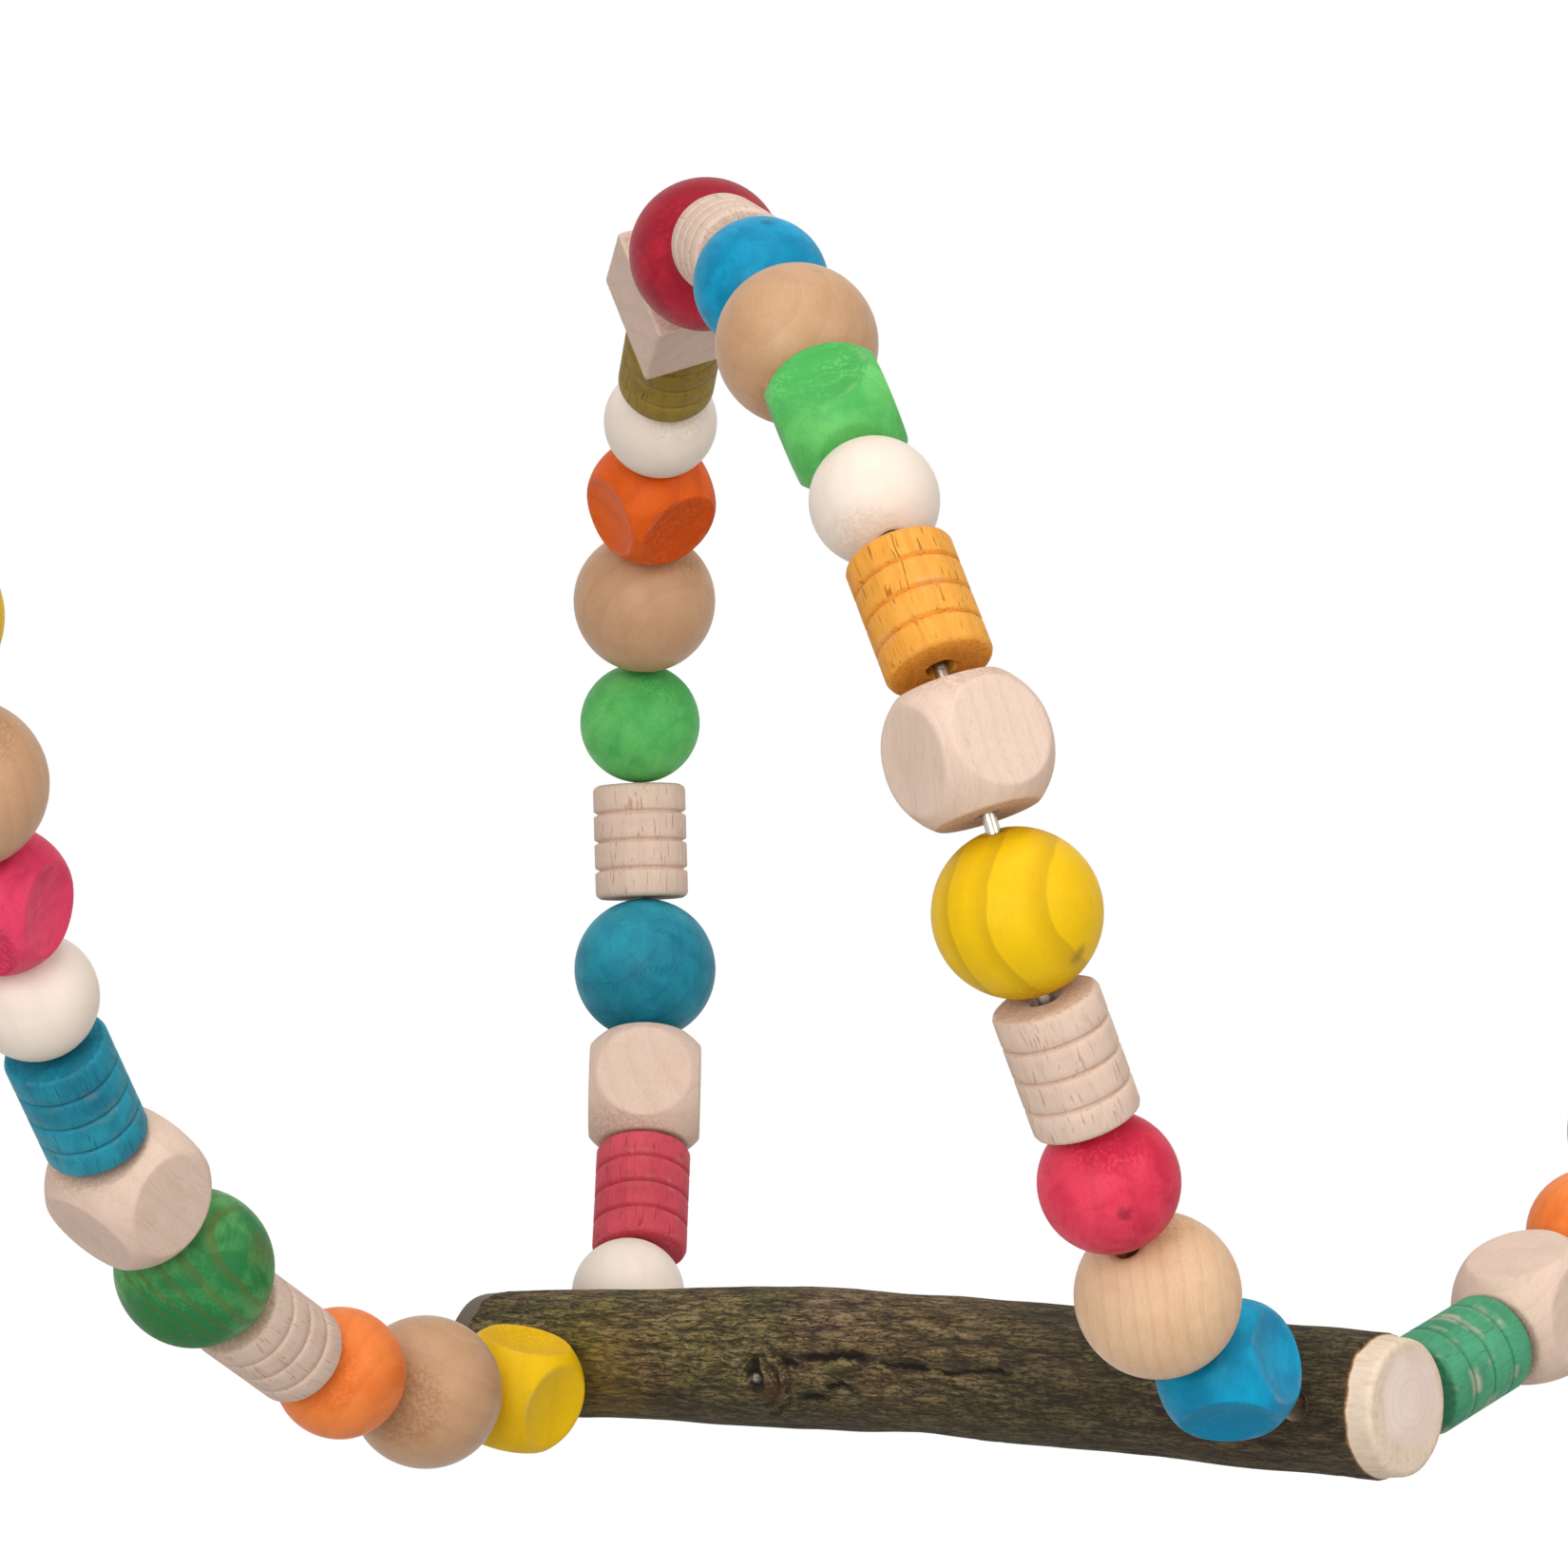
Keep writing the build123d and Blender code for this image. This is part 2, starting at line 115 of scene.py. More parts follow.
def combine(tree, first, second, operation="ADD"):
    """The sum, product or other result of two values."""
    return put(tree, "ShaderNodeMath", {0: first, 1: second}, operation=operation).outputs[0]


def seen_rays(tree):
    """1 for the rays that show a surface: straight, mirrored or through glass."""
    path = put(tree, "ShaderNodeLightPath").outputs
    either = combine(tree, path["Is Camera Ray"], path["Is Glossy Ray"], "MAXIMUM")
    return combine(tree, either, path["Is Transmission Ray"], "MAXIMUM")


# the sky is bright above and dim below, so the undersides of the beads fall into shade
sky_below, sky_above = 0.16, 0.62
world = bpy.data.worlds.new("studio")
scene.world = world
world.use_nodes = True
tree = world.node_tree
tree.nodes.clear()
sky_way = put(tree, "ShaderNodeTexCoord").outputs["Generated"]
sky_rise = put(tree, "ShaderNodeSeparateXYZ", {0: sky_way}).outputs["Z"]
sky_range = {"Value": sky_rise, "From Min": -0.6, "From Max": 1.0, "To Min": sky_below, "To Max": sky_above}
sky_level = put(tree, "ShaderNodeMapRange", sky_range).outputs["Result"]
sky = put(tree, "ShaderNodeBackground", {"Color": (1.0, 0.985, 0.97, 1), "Strength": sky_level})
white = put(tree, "ShaderNodeBackground", {"Color": (1, 1, 1, 1), "Strength": 1.0})
pick = put(tree, "ShaderNodeMixShader", {"Fac": seen_rays(tree), 1: sky.outputs[0], 2: white.outputs[0]})
put(tree, "ShaderNodeOutputWorld", {"Surface": pick.outputs[0]})
print("world with", len(tree.nodes), "nodes")


# %% Lay the floor
def blank_material(name):
    """A new material and its empty net of nodes."""
    material = bpy.data.materials.new(name)
    material.use_nodes = True
    material.node_tree.nodes.clear()
    return material, material.node_tree


floor_height = -0.62
half_floor = 8.0
floor_corners = [(x * half_floor, y * half_floor, 0) for x, y in ((-1, -1), (1, -1), (1, 1), (-1, 1))]
floor_mesh = bpy.data.meshes.new("floor")
floor_mesh.from_pydata(floor_corners, [], [(0, 1, 2, 3)])
floor = bpy.data.objects.new("floor", floor_mesh)
floor.location = (0.16, 0.0, floor_height)
scene.collection.objects.link(floor)
floor_finish, tree = blank_material("pale_floor")
# rays that show the floor see it nearly white; the rest of its colour keeps the swing's shadow
white_share = combine(tree, seen_rays(tree), 0.92, "MULTIPLY")
matt = put(tree, "ShaderNodeBsdfDiffuse", {"Color": (0.5, 0.5, 0.5, 1)})
glow = put(tree, "ShaderNodeEmission", {"Strength": 1.07})
pick = put(tree, "ShaderNodeMixShader", {"Fac": white_share, 1: matt.outputs[0], 2: glow.outputs[0]})
put(tree, "ShaderNodeOutputMaterial", {"Surface": pick.outputs[0]})
floor_mesh.materials.append(floor_finish)
print("floor at", floor_height)

# %% Hang the lamps
swing_middle = Vector((0.16, 0.0, -0.15))


def soft_lamp(name, place, size, power, colour):
    """A large square lamp that faces the middle of the swing."""
    data = bpy.data.lights.new(name, "AREA")
    data.shape = "SQUARE"
    data.size = size
    data.energy = power
    data.color = colour
    lamp = bpy.data.objects.new(name, data)
    lamp.location = place
    lamp.rotation_euler = (swing_middle - Vector(place)).to_track_quat("-Z", "Y").to_euler()
    scene.collection.objects.link(lamp)
    return lamp


soft_lamp("overhead_lamp", (0.1, -0.55, 1.15), 0.9, 5.6, (1.0, 0.98, 0.95))
soft_lamp("front_left_lamp", (-0.3, -1.45, 0.05), 0.9, 12.0, (1.0, 0.99, 0.97))
soft_lamp("right_lamp", (1.2, -1.0, 0.4), 0.8, 5.8, (1.0, 0.98, 0.96))
print("lamps", [lamp.name for lamp in bpy.data.lights])

# %% [markdown]
# ## Shells from rings
# Every bead is a ring-shaped solid: rings of points run up its outside, down its bore and close on
# themselves. One helper joins such rings with quads. The same helper, with lids, makes the branch
# and the drill that cuts its holes.

# %% Join rings into a mesh
def ring_mesh(name, rings, joined=True, smooth=True):
    """Quads between closed rings; joined closes the last ring on the first, or else lids close both."""
    count, steps = rings.shape[:2]
    row = np.arange(count if joined else count - 1)[:, None]
    column = np.arange(steps)[None, :]
    here = row * steps + column
    beside = row * steps + (column + 1) % steps
    above = (row + 1) % count * steps + column
    above_beside = (row + 1) % count * steps + (column + 1) % steps
    faces = np.stack([here, beside, above_beside, above], axis=-1).reshape(-1, 4).tolist()
    if not joined:
        faces += [list(range(steps))[::-1], list(range((count - 1) * steps, count * steps))]
    mesh = bpy.data.meshes.new(name)
    mesh.from_pydata(rings.reshape(-1, 3).tolist(), [], faces)
    mesh.polygons.foreach_set("use_smooth", [smooth] * len(mesh.polygons))
    mesh.update()
    return mesh


def lathe(profile, steps):
    """Rings from a profile of (radius, height) rows, all in metres."""
    turn = np.linspace(0, 2 * math.pi, steps, endpoint=False)
    radius = np.array([row[0] for row in profile])[:, None]
    height = np.array([row[1] for row in profile])[:, None]
    ones = np.ones_like(turn)[None, :]
    return np.stack([radius * np.cos(turn), radius * np.sin(turn), height * ones], axis=-1)


bore_radius = 2.2 * mm
mouth_radius = 2.6 * mm


def bore_rows(top, bottom):
    """The bore's wall from the upper mouth down to the lower one."""
    ease = mouth_radius - bore_radius
    return [(bore_radius, top - ease), (bore_radius, (top + bottom) / 2), (bore_radius, bottom + ease)]


print("bores", round(2 * bore_radius / mm, 1), "mm across")


# %% [markdown]
# ## Turned balls
# A ball comes off the lathe round to a few hundredths of a millimetre, with its bore countersunk.
# A little low noise keeps the reflections from looking machined.

# %% Turn the balls
def unevenness(points, size, depth, seed):
    """Smooth noise at each point, from 0 down to minus the depth."""
    offset = Vector((seed * 1.7, seed * 0.9, seed * 2.3))
    values = [noise.noise(Vector(point) / size + offset) for point in points.reshape(-1, 3)]
    return np.array(values).reshape(points.shape[:-1]) * (depth / 2) - depth / 2


ball_rows, ball_steps = 41, 72


def ball_mesh(name, diameter, seed):
    """A countersunk ball; its unevenness is a share of its radius."""
    radius = diameter / 2
    first = math.asin(mouth_radius / radius)
    turns = np.linspace(math.pi - first, first, ball_rows)
    outside = [(radius * math.sin(turn), radius * math.cos(turn)) for turn in turns]
    mouth = radius * math.cos(first)
    rings = lathe(outside + bore_rows(mouth, -mouth), ball_steps)
    lengths = np.linalg.norm(rings, axis=-1, keepdims=True)
    rings = rings * (1 + unevenness(rings, 9 * mm, 0.006, seed)[..., None] * (lengths > 0.9 * radius))
    return ring_mesh(name, rings)


print("balls of", ball_rows, "by", ball_steps, "points")


# %% [markdown]
# ## Ribbed cylinders
# These are cut from dowel: three narrow grooves turned in with a pointed tool, the ends just
# broken with a chamfer. The groove's lips are eased by sanding, so each lip is two short slopes.

# %% Turn the ribbed cylinders
def keep_edges(mesh, values):
    """Stores how near each point is to a worn edge, from 0 to 1."""
    edge = mesh.attributes.new("edge", "FLOAT", "POINT")
    edge.data.foreach_set("value", np.asarray(values, dtype=np.float32).ravel())


ribbed_radius = 8.2 * mm
ribbed_half = 10.0 * mm
ribbed_steps = 96
end_ring = 5.0 * mm


def ribbed_mesh(name, seed):
    """A cylinder with three grooves; its edges are kept as a mask for the wear."""
    lip = 0.08 * mm
    reach = 0.46 * mm
    depth = 0.75 * mm
    chamfer = 0.8 * mm
    low_end = [
        (mouth_radius, -ribbed_half),
        (end_ring, -ribbed_half),
        (ribbed_radius - chamfer, -ribbed_half),
        (ribbed_radius - 0.3 * chamfer, -ribbed_half + 0.45 * chamfer),
        (ribbed_radius, -ribbed_half + 1.1 * chamfer),
    ]
    rows = list(low_end)
    for number in (-1, 0, 1):
        middle = number * ribbed_half / 2
        rows += [
            (ribbed_radius, middle - reach - 1.2 * mm),
            (ribbed_radius, middle - reach - lip),
            (ribbed_radius - lip, middle - reach + 0.4 * lip),
            (ribbed_radius - depth, middle - 0.08 * mm),
            (ribbed_radius - depth, middle + 0.08 * mm),
            (ribbed_radius - lip, middle + reach - 0.4 * lip),
            (ribbed_radius, middle + reach + lip),
            (ribbed_radius, middle + reach + 1.2 * mm),
        ]
    rows += [(radius, -height) for radius, height in reversed(low_end)]
    rings = lathe(rows + bore_rows(ribbed_half, -ribbed_half), ribbed_steps)
    across = np.hypot(rings[..., 0], rings[..., 1])
    wobble = unevenness(rings * np.array([1, 1, 0.35]), 2.2 * mm, 0.05 * mm, seed)
    share = np.where(across > 4 * mm, wobble / np.maximum(across, mm), 0)
    rings[..., :2] *= (1 + share)[..., None]
    mesh = ring_mesh(name, rings)
    mesh.set_sharp_from_angle(angle=math.radians(38))
    heights = rings[:, :1, 2]
    from_edge = np.abs(np.abs(heights) - (ribbed_half - 0.5 * chamfer))
    for number in (-1, 0, 1):
        from_edge = np.minimum(from_edge, np.abs(np.abs(heights - number * ribbed_half / 2) - reach))
    keep_edges(mesh, np.exp(-((from_edge / (0.3 * mm)) ** 2)) * (across > 7.0 * mm))
    return mesh


print("ribbed cylinders", round(2 * ribbed_half / mm, 1), "mm long")


# %% [markdown]
# ## Blocks
# A block is a cube tumbled until its corners are rounded to a ball. Seen from its middle, its
# surface lies at the nearest of a ball and six flats in every direction, so each point is found
# along its own ray. Adding the nearnesses as high powers eases the edges as sanding does. The
# dished blocks have the same ball and flats, with a shallow bowl cut in each side.

# %% Cut the blocks
block_rows, block_steps = 116, 208
# half width, half length, radius of the rounding ball, sharpness of the edges, radius and depth of the dish
block_forms = {
    "cube": (9.6 * mm, 9.6 * mm, None, 60, None),
    "block": (9.7 * mm, 10.0 * mm, 12.68 * mm, 150, None),
    "dished": (8.7 * mm, 10.0 * mm, 11.32 * mm, 150, (26.4 * mm, 0.9 * mm)),
}


def block_rings(half_width, half_length, ball_radius, sharpness, dish):
    """Rings of a block whose bore runs along Z, and how near each point is to an edge."""
    first = math.atan2(mouth_radius, half_length)
    climb = np.linspace(math.pi - first, first, block_rows)[:, None]
    turn = np.linspace(0, 2 * math.pi, block_steps, endpoint=False)[None, :]
    level = np.cos(climb) * np.ones_like(turn)
    way = np.stack([np.sin(climb) * np.cos(turn), np.sin(climb) * np.sin(turn), level], axis=-1)
    halves = (half_width, half_width, half_length)
    near = [np.abs(way[..., axis]) / half for axis, half in enumerate(halves)]
    if ball_radius:
        near.append(np.full(way.shape[:2], 1 / ball_radius))
    if dish:
        bowl_radius, bowl_depth = dish
        centre = half_width - bowl_depth + bowl_radius
        for x, y in ((1, 0), (0, 1), (-1, 0), (0, -1)):
            along = (way[..., 0] * x + way[..., 1] * y) * centre
            inside = along**2 - centre**2 + bowl_radius**2
            hit = (inside > 0) & (along > 0)
            reach = np.where(hit, along - np.sqrt(np.maximum(inside, 0)), 1.0)
            near.append(1 / reach)
    powers = np.stack([(value * half_length) ** sharpness for value in near])
    total = powers.sum(axis=0)
    edge = np.clip(2 * (1 - powers.max(axis=0) / total), 0, 1)
    return way * (half_length * total ** (-1 / sharpness))[..., None], edge


def block_mesh(name, kind, seed):
    """A drilled block; its edges are kept as a mask for the wear."""
    outside, edge = block_rings(*block_forms[kind])
    outside = outside * (1 + unevenness(outside, 6 * mm, 0.004, seed))[..., None]
    top = outside[-1, 0, 2]
    inside = lathe(bore_rows(top, -top), outside.shape[1])
    mesh = ring_mesh(name, np.concatenate([outside, inside]))
    keep_edges(mesh, np.concatenate([edge, np.zeros(inside.shape[:2])]))
    return mesh


print("blocks in", len(block_forms), "forms")


# %% [markdown]
# ## What is strung where
# Each row below is one bead from the perch outwards on an arm, or from the left hole to the right
# hole on the loop: its form, its finish and its turn about the wire as a share of a full turn. The
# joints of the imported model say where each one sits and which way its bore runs.

# %% List the beads
left_arm = [
    ("dished", "yellow", 0.04), ("large_ball", "tan", 0), ("medium_ball", "orange", 0), ("ribbed", "natural", 0),
    ("large_ball", "dark_green", 0), ("block", "natural", 0.10), ("ribbed", "teal", 0), ("small_ball", "white", 0),
    ("dished", "pink", 0.06), ("large_ball", "tan", 0), ("large_ball", "yellow", 0), ("ribbed", "natural", 0),
    ("medium_ball", "orange", 0), ("block", "natural", 0.03), ("large_ball", "tan", 0), ("ribbed", "green", 0),
]
loop = [
    ("small_ball", "white", 0), ("ribbed", "rose", 0), ("block", "natural", 0), ("large_ball", "teal", 0),
    ("ribbed", "natural", 0), ("medium_ball", "green", 0), ("large_ball", "tan", 0), ("dished", "deep_orange", 0.095),
    ("small_ball", "white", 0), ("ribbed", "olive", 0), ("cube", "natural", 0.06), ("large_ball", "red", 0),
    ("ribbed", "natural", 0), ("medium_ball", "blue", 0), ("large_ball", "tan", 0), ("dished", "green", 0.05),
    ("small_ball", "white", 0), ("ribbed", "amber", 0), ("block", "natural", 0.17), ("large_ball", "yellow", 0),
    ("ribbed", "natural", 0), ("medium_ball", "hot_pink", 0), ("large_ball", "maple", 0), ("dished", "blue", 0.0),
]
right_arm = [
    ("ribbed", "sea_green", 0), ("block", "natural", 0.195), ("medium_ball", "orange", 0), ("large_ball", "tan", 0),
    ("ribbed", "natural", 0), ("large_ball", "teal", 0), ("dished", "pink", 0.12), ("ribbed", "olive", 0),
    ("small_ball", "white", 0), ("block", "natural", 0.02), ("large_ball", "red", 0), ("medium_ball", "green", 0),
    ("ribbed", "natural", 0), ("large_ball", "yellow", 0),
]
ball_diameters = {"large_ball": 25.0 * mm, "medium_ball": 21.2 * mm, "small_ball": 19.4 * mm}
strings = (("left_bead", left_arm, -1), ("loop_bead", loop, 1), ("right_bead", right_arm, 1))


def bead_seat(string, number, count, direction, turn_share):
    """The matrix of a bead: Z along its bore towards the right end of the wire."""
    joint = joints[f"{string}_{number:02d}"]
    centre = Vector(joint["pos_m"])
    along = Vector(joint["axis"]).normalized()
    other = number + 1 if number < count else number - 1
    way = Vector(joints[f"{string}_{other:02d}"]["pos_m"]) - centre
    if along.dot(way) * (other - number) * direction < 0:
        along = -along
    side = Vector((1, 0, 0))
    side = (side - along * side.dot(along)).normalized()
    turn = 2 * math.pi * turn_share
    side = side * math.cos(turn) + along.cross(side) * math.sin(turn)
    return Matrix.Translation(centre) @ Matrix((side, along.cross(side), along)).transposed().to_4x4()


print("beads to string:", {string: len(rows) for string, rows, _ in strings})

# %% [markdown]
# A piece that is turned as an object gets a loose bounding box, so the turn goes into the mesh and
# the object stays square to the model. The grain still has to follow the bore: each point keeps
# where it was on the piece before the turn, in millimetres, as an attribute that shaders read.

# %% String the beads
def settle(piece, matrix):
    """Moves a piece's mesh into place; own_place and own_facing keep how each point lay before."""
    mesh = piece.data
    own = np.empty(len(mesh.vertices) * 3, dtype=np.float32)
    facing = np.empty_like(own)
    mesh.vertices.foreach_get("co", own)
    mesh.vertex_normals.foreach_get("vector", facing)
    for name, values in (("own_place", own / mm), ("own_facing", facing)):
        mesh.attributes.new(name, "FLOAT_VECTOR", "POINT").data.foreach_set("vector", values)
    mesh.transform(matrix)
    mesh.update()
    piece.matrix_world = Matrix.Identity(4)


beads = []
seats = {}
for string, rows, direction in strings:
    for number, (kind, finish, turn_share) in enumerate(rows, start=1):
        node = f"{string}_{number:02d}"
        seed = len(beads) + 1
        if kind in ball_diameters:
            mesh = ball_mesh(f"turned_{node}", ball_diameters[kind], seed)
        elif kind == "ribbed":
            mesh = ribbed_mesh(f"turned_{node}", seed)
        else:
            mesh = block_mesh(f"turned_{node}", kind, seed)
        bead = bpy.data.objects.new(f"turned_{node}", mesh)
        scene.collection.objects.link(bead)
        seats[bead.name] = bead_seat(string, number, len(rows), direction, turn_share)
        settle(bead, seats[bead.name])
        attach(bead, node)
        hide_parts(node)
        beads.append((bead, kind, finish, seed))
print("strung", len(beads), "beads with", sum(len(bead.data.polygons) for bead, *_ in beads), "quads")

# %% [markdown]
# ## The branch
# The perch is a length of branch with its bark on. The numbers for its holes, girth and gentle bow
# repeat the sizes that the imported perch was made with, and the last line of this part prints how
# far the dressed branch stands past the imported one. The bark's relief is made in the mesh, because
# it shows in the outline: long shallow fissures, a swelling and a wrinkled collar round a dead
# knot, and a broken crack beside it. The places of these marks were judged from a picture of such
# a branch. The ends are peeled to pale wood. Marks that also change the colour are kept as point
# attributes.

# %% Lay out the branch
left_hole = Vector((114.873, 56.013, -241.458)) * mm
right_hole = Vector((231.645, -37.975, -238.135)) * mm
left_hole_way = Vector((0.3678, 0.8870, 0.2790))
right_hole_way = Vector((0.6524, 0.7545, -0.0710))
hole_radius = 2.5 * mm
left_overhang = 24.0 * mm
right_overhang = 13.0 * mm
peeled_length = 4.3 * mm
bark_thickness = 0.4 * mm
peeled_taper = 0.4 * mm
branch_diameter = 22.0 * mm
branch_way = (right_hole - left_hole).normalized()
branch_side = Vector((0, 0, 1)).cross(branch_way).normalized()
branch_up = branch_way.cross(branch_side)
branch_start = left_hole - branch_way * left_overhang
branch_length = (right_hole - left_hole).length + left_overhang + right_overhang
branch_axes = Matrix((branch_way, branch_side, branch_up)).transposed()
branch_matrix = Matrix.Translation(branch_start) @ branch_axes.to_4x4()
# place, width, height, sideways bend and lift, as shares of the barked length and the diameter
girth_shares = np.array((
    (0.00, 0.98, 0.96, 0.00, 0.01),
    (0.17, 0.99, 0.99, 0.02, 0.06),
    (0.36, 1.02, 1.06, 0.04, 0.10),
    (0.50, 1.01, 1.02, 0.04, 0.11),
    (0.68, 1.02, 1.02, 0.03, 0.08),
    (0.86, 1.03, 1.03, 0.01, 0.04),
    (1.00, 1.03, 1.03, 0.00, 0.01),
))
print("branch", round(branch_length / mm, 1), "mm long")

# %% Grow the bark
branch_rows, branch_steps = 420, 192
knot_place, knot_turn = 67.3 * mm, math.radians(194.6)
# runs of the crack: start and end in mm, turn round the branch in degrees, half the width in mm
crack_rows = (
    (76.0, 92.5, 171, 0.44),
    (91.5, 105.0, 173, 0.27),
    (104.0, 121.0, 176, 0.12),
    (71.5, 78.5, 177, 0.45),
    (74.5, 83.0, 207, 0.42),
    (80.0, 89.0, 197, 0.36),
)


def smooth_step(low, high, value):
    """0 below low, 1 above high, and eased between them."""
    share = np.clip((value - low) / (high - low), 0, 1)
    return share * share * (3 - 2 * share)


def streaks(along, turn, stretch, size, seed):
    """Noise drawn out along the branch; size is the width of a streak, in metres."""
    round_y = np.cos(turn) * branch_diameter / 2
    round_z = np.sin(turn) * branch_diameter / 2
    flat = zip((along / stretch / size).ravel(), (round_y / size).ravel(), (round_z / size).ravel())
    values = [noise.noise(Vector((x + seed, y - seed, z))) for x, y, z in flat]
    return np.array(values).reshape(along.shape)


place = np.linspace(0, branch_length, branch_rows)
turn = np.linspace(0, 2 * math.pi, branch_steps, endpoint=False)
along, around = np.meshgrid(place, turn, indexing="ij")
share = (along - peeled_length) / (branch_length - 2 * peeled_length)
width, height, bend, lift = (
    np.interp(share, girth_shares[:, 0], girth_shares[:, column]) for column in range(1, 5)
)

edge_jag = streaks(along * 0, around, 1.0, 3.2 * mm, 3.0) * 0.7 * mm
from_end = np.minimum(along, branch_length - along) + edge_jag
bark = smooth_step(peeled_length - 0.5 * mm, peeled_length + 0.25 * mm, from_end)
long_fissure = streaks(along, around, 9.0, 1.5 * mm, 5.0)
short_fissure = streaks(along, around, 5.0, 0.7 * mm, 9.0)
lumps = streaks(along, around, 1.6, 7.0 * mm, 12.0)
fissure_and_trough_shade = smooth_step(0.05, 0.55, -long_fissure) * 0.6 + smooth_step(0.1, 0.6, -short_fissure) * 0.4

knot_across = (around - knot_turn) * branch_diameter / 2
knot_along = along - knot_place
knot_far = np.hypot(knot_along / 1.15, knot_across)
knot_wobble = streaks(along, around, 1.2, 1.6 * mm, 21.0) * 0.8 * mm
knot_swell = np.exp(-((knot_far / (6.5 * mm)) ** 2))
knot_ring = np.exp(-(((knot_far + knot_wobble - 3.1 * mm) / (1.1 * mm)) ** 2))
pit_far = np.hypot(knot_along - 0.3 * mm, (knot_across + 1.1 * mm) / 1.8)
knot_pit = 1 - smooth_step(1.2 * mm, 2.1 * mm, pit_far + knot_wobble * 0.6)

crack_wander = streaks(along, around * 0, 4.0, 2.5 * mm, 31.0) * 1.3 * mm
crack_wander = crack_wander + streaks(along, around * 0, 1.0, 1.4 * mm, 33.0) * 0.5 * mm


def crack_run(start, end, turn, half_width):
    """A mask for one run of the crack, pointed at both ends."""
    across = np.abs((around - math.radians(turn)) * branch_diameter / 2 - crack_wander)
    length = smooth_step(start, start + 2.5 * mm, along) * (1 - smooth_step(end - 4 * mm, end, along))
    width = half_width * (length + 0.7 * streaks(along, around, 2.0, 1.3 * mm, 37.0))
    return (1 - smooth_step(width, width + 0.4 * mm, across)) * length


crack_and_hollow_shade = np.max([crack_run(a * mm, b * mm, turn, w * mm) for a, b, turn, w in crack_rows], axis=0)
crown = np.exp(-(((along - 75 * mm) / (13 * mm)) ** 2)) * np.clip(np.sin(around), 0, 1) ** 2
pale_far = np.hypot(knot_along + 0.2 * mm, knot_across + 0.2 * mm)
knot_heart = 1 - smooth_step(0.45 * mm, 0.85 * mm, pale_far + knot_wobble * 0.25)

collar_wave = np.sin(knot_far / (0.36 * mm) + 2.6 * streaks(along, around, 1.0, 2.4 * mm, 41.0))
collar_side = smooth_step(-1.0 * mm, 2.0 * mm, knot_along)
collar = collar_wave * collar_side * np.exp(-(((knot_far - 4.6 * mm) / (2.8 * mm)) ** 2))
# painted shade: the collar's troughs join the fissures, so they are cut deeper and coloured darker
fissure_and_trough_shade = np.clip(fissure_and_trough_shade + 1.3 * np.clip(-collar - 0.15, 0, 1), 0, 1)

relief = bark * (
    collar * 0.32 * mm
    + lumps * 0.28 * mm
    - fissure_and_trough_shade * 0.3 * mm
    + crown * 0.35 * mm
    + knot_swell * 0.7 * mm
    + knot_ring * 0.35 * mm
    - knot_pit * 1.5 * mm
    + knot_heart * 0.7 * mm
    - crack_and_hollow_shade * 0.9 * mm
)
taper = 1 - np.clip(from_end / peeled_length, 0, 1)
cut_back = (1 - bark) * (bark_thickness + peeled_taper * taper)
end_ease = 0.5 * mm * np.clip(1 - np.minimum(along, branch_length - along) / (0.7 * mm), 0, 1) ** 2
depth = relief - cut_back - end_ease
rings = np.stack(
    [
        along,
        bend * branch_diameter + np.cos(around) * (width * branch_diameter / 2 + depth),
        lift * branch_diameter + np.sin(around) * (height * branch_diameter / 2 + depth),
    ],
    axis=-1,
)
print("relief from", round(relief.min() / mm, 2), "to", round(relief.max() / mm, 2), "mm")

# %% [markdown]
# The cut ends are discs of shrinking rings, a little dished by the saw. They close the branch, so
# it is one watertight mesh, and its two holes can be cut with real cylinders.

# %% Close the ends and drill the holes
disc_shares = np.array([0.93, 0.8, 0.6, 0.4, 0.2, 0.06])


def end_disc(rim, outwards):
    """Rings from a rim in to the middle; outwards is the way the end faces along the branch."""
    middle = rim.mean(axis=0)
    disc = np.stack([middle + (rim - middle) * share for share in disc_shares])
    disc[..., 0] -= outwards * (1 - disc_shares[:, None] ** 2) * 0.12 * mm
    return disc


left_disc = end_disc(rings[0], -1)[::-1]
right_disc = end_disc(rings[-1], 1)
branch_rings = np.concatenate([left_disc, rings, right_disc])
closed = ring_mesh("branch_closed", branch_rings, joined=False)


def keep_mask(mesh, name, values, ends):
    """Stores a mask at every point; ends is its value on the two discs."""
    lids = np.full((len(disc_shares), branch_steps), float(ends))
    whole = np.concatenate([lids, values, lids]).ravel().astype(np.float32)
    mask = mesh.attributes.new(name, "FLOAT", "POINT")
    mask.data.foreach_set("value", whole)


keep_mask(closed, "bark", bark, 0)
keep_mask(closed, "fissure_and_trough_shade", fissure_and_trough_shade * bark, 0)
# the crack mask takes in the knot's pit; the bark colour makes both near-black as painted shade
keep_mask(closed, "crack_and_hollow_shade", np.clip(crack_and_hollow_shade + knot_pit - knot_heart, 0, 1) * bark, 0)
keep_mask(closed, "knot_heart", knot_heart * bark, 0)
branch = bpy.data.objects.new("branch", closed)
scene.collection.objects.link(branch)
branch.matrix_world = branch_matrix


drill_steps = 40
drill_reach = 20 * mm


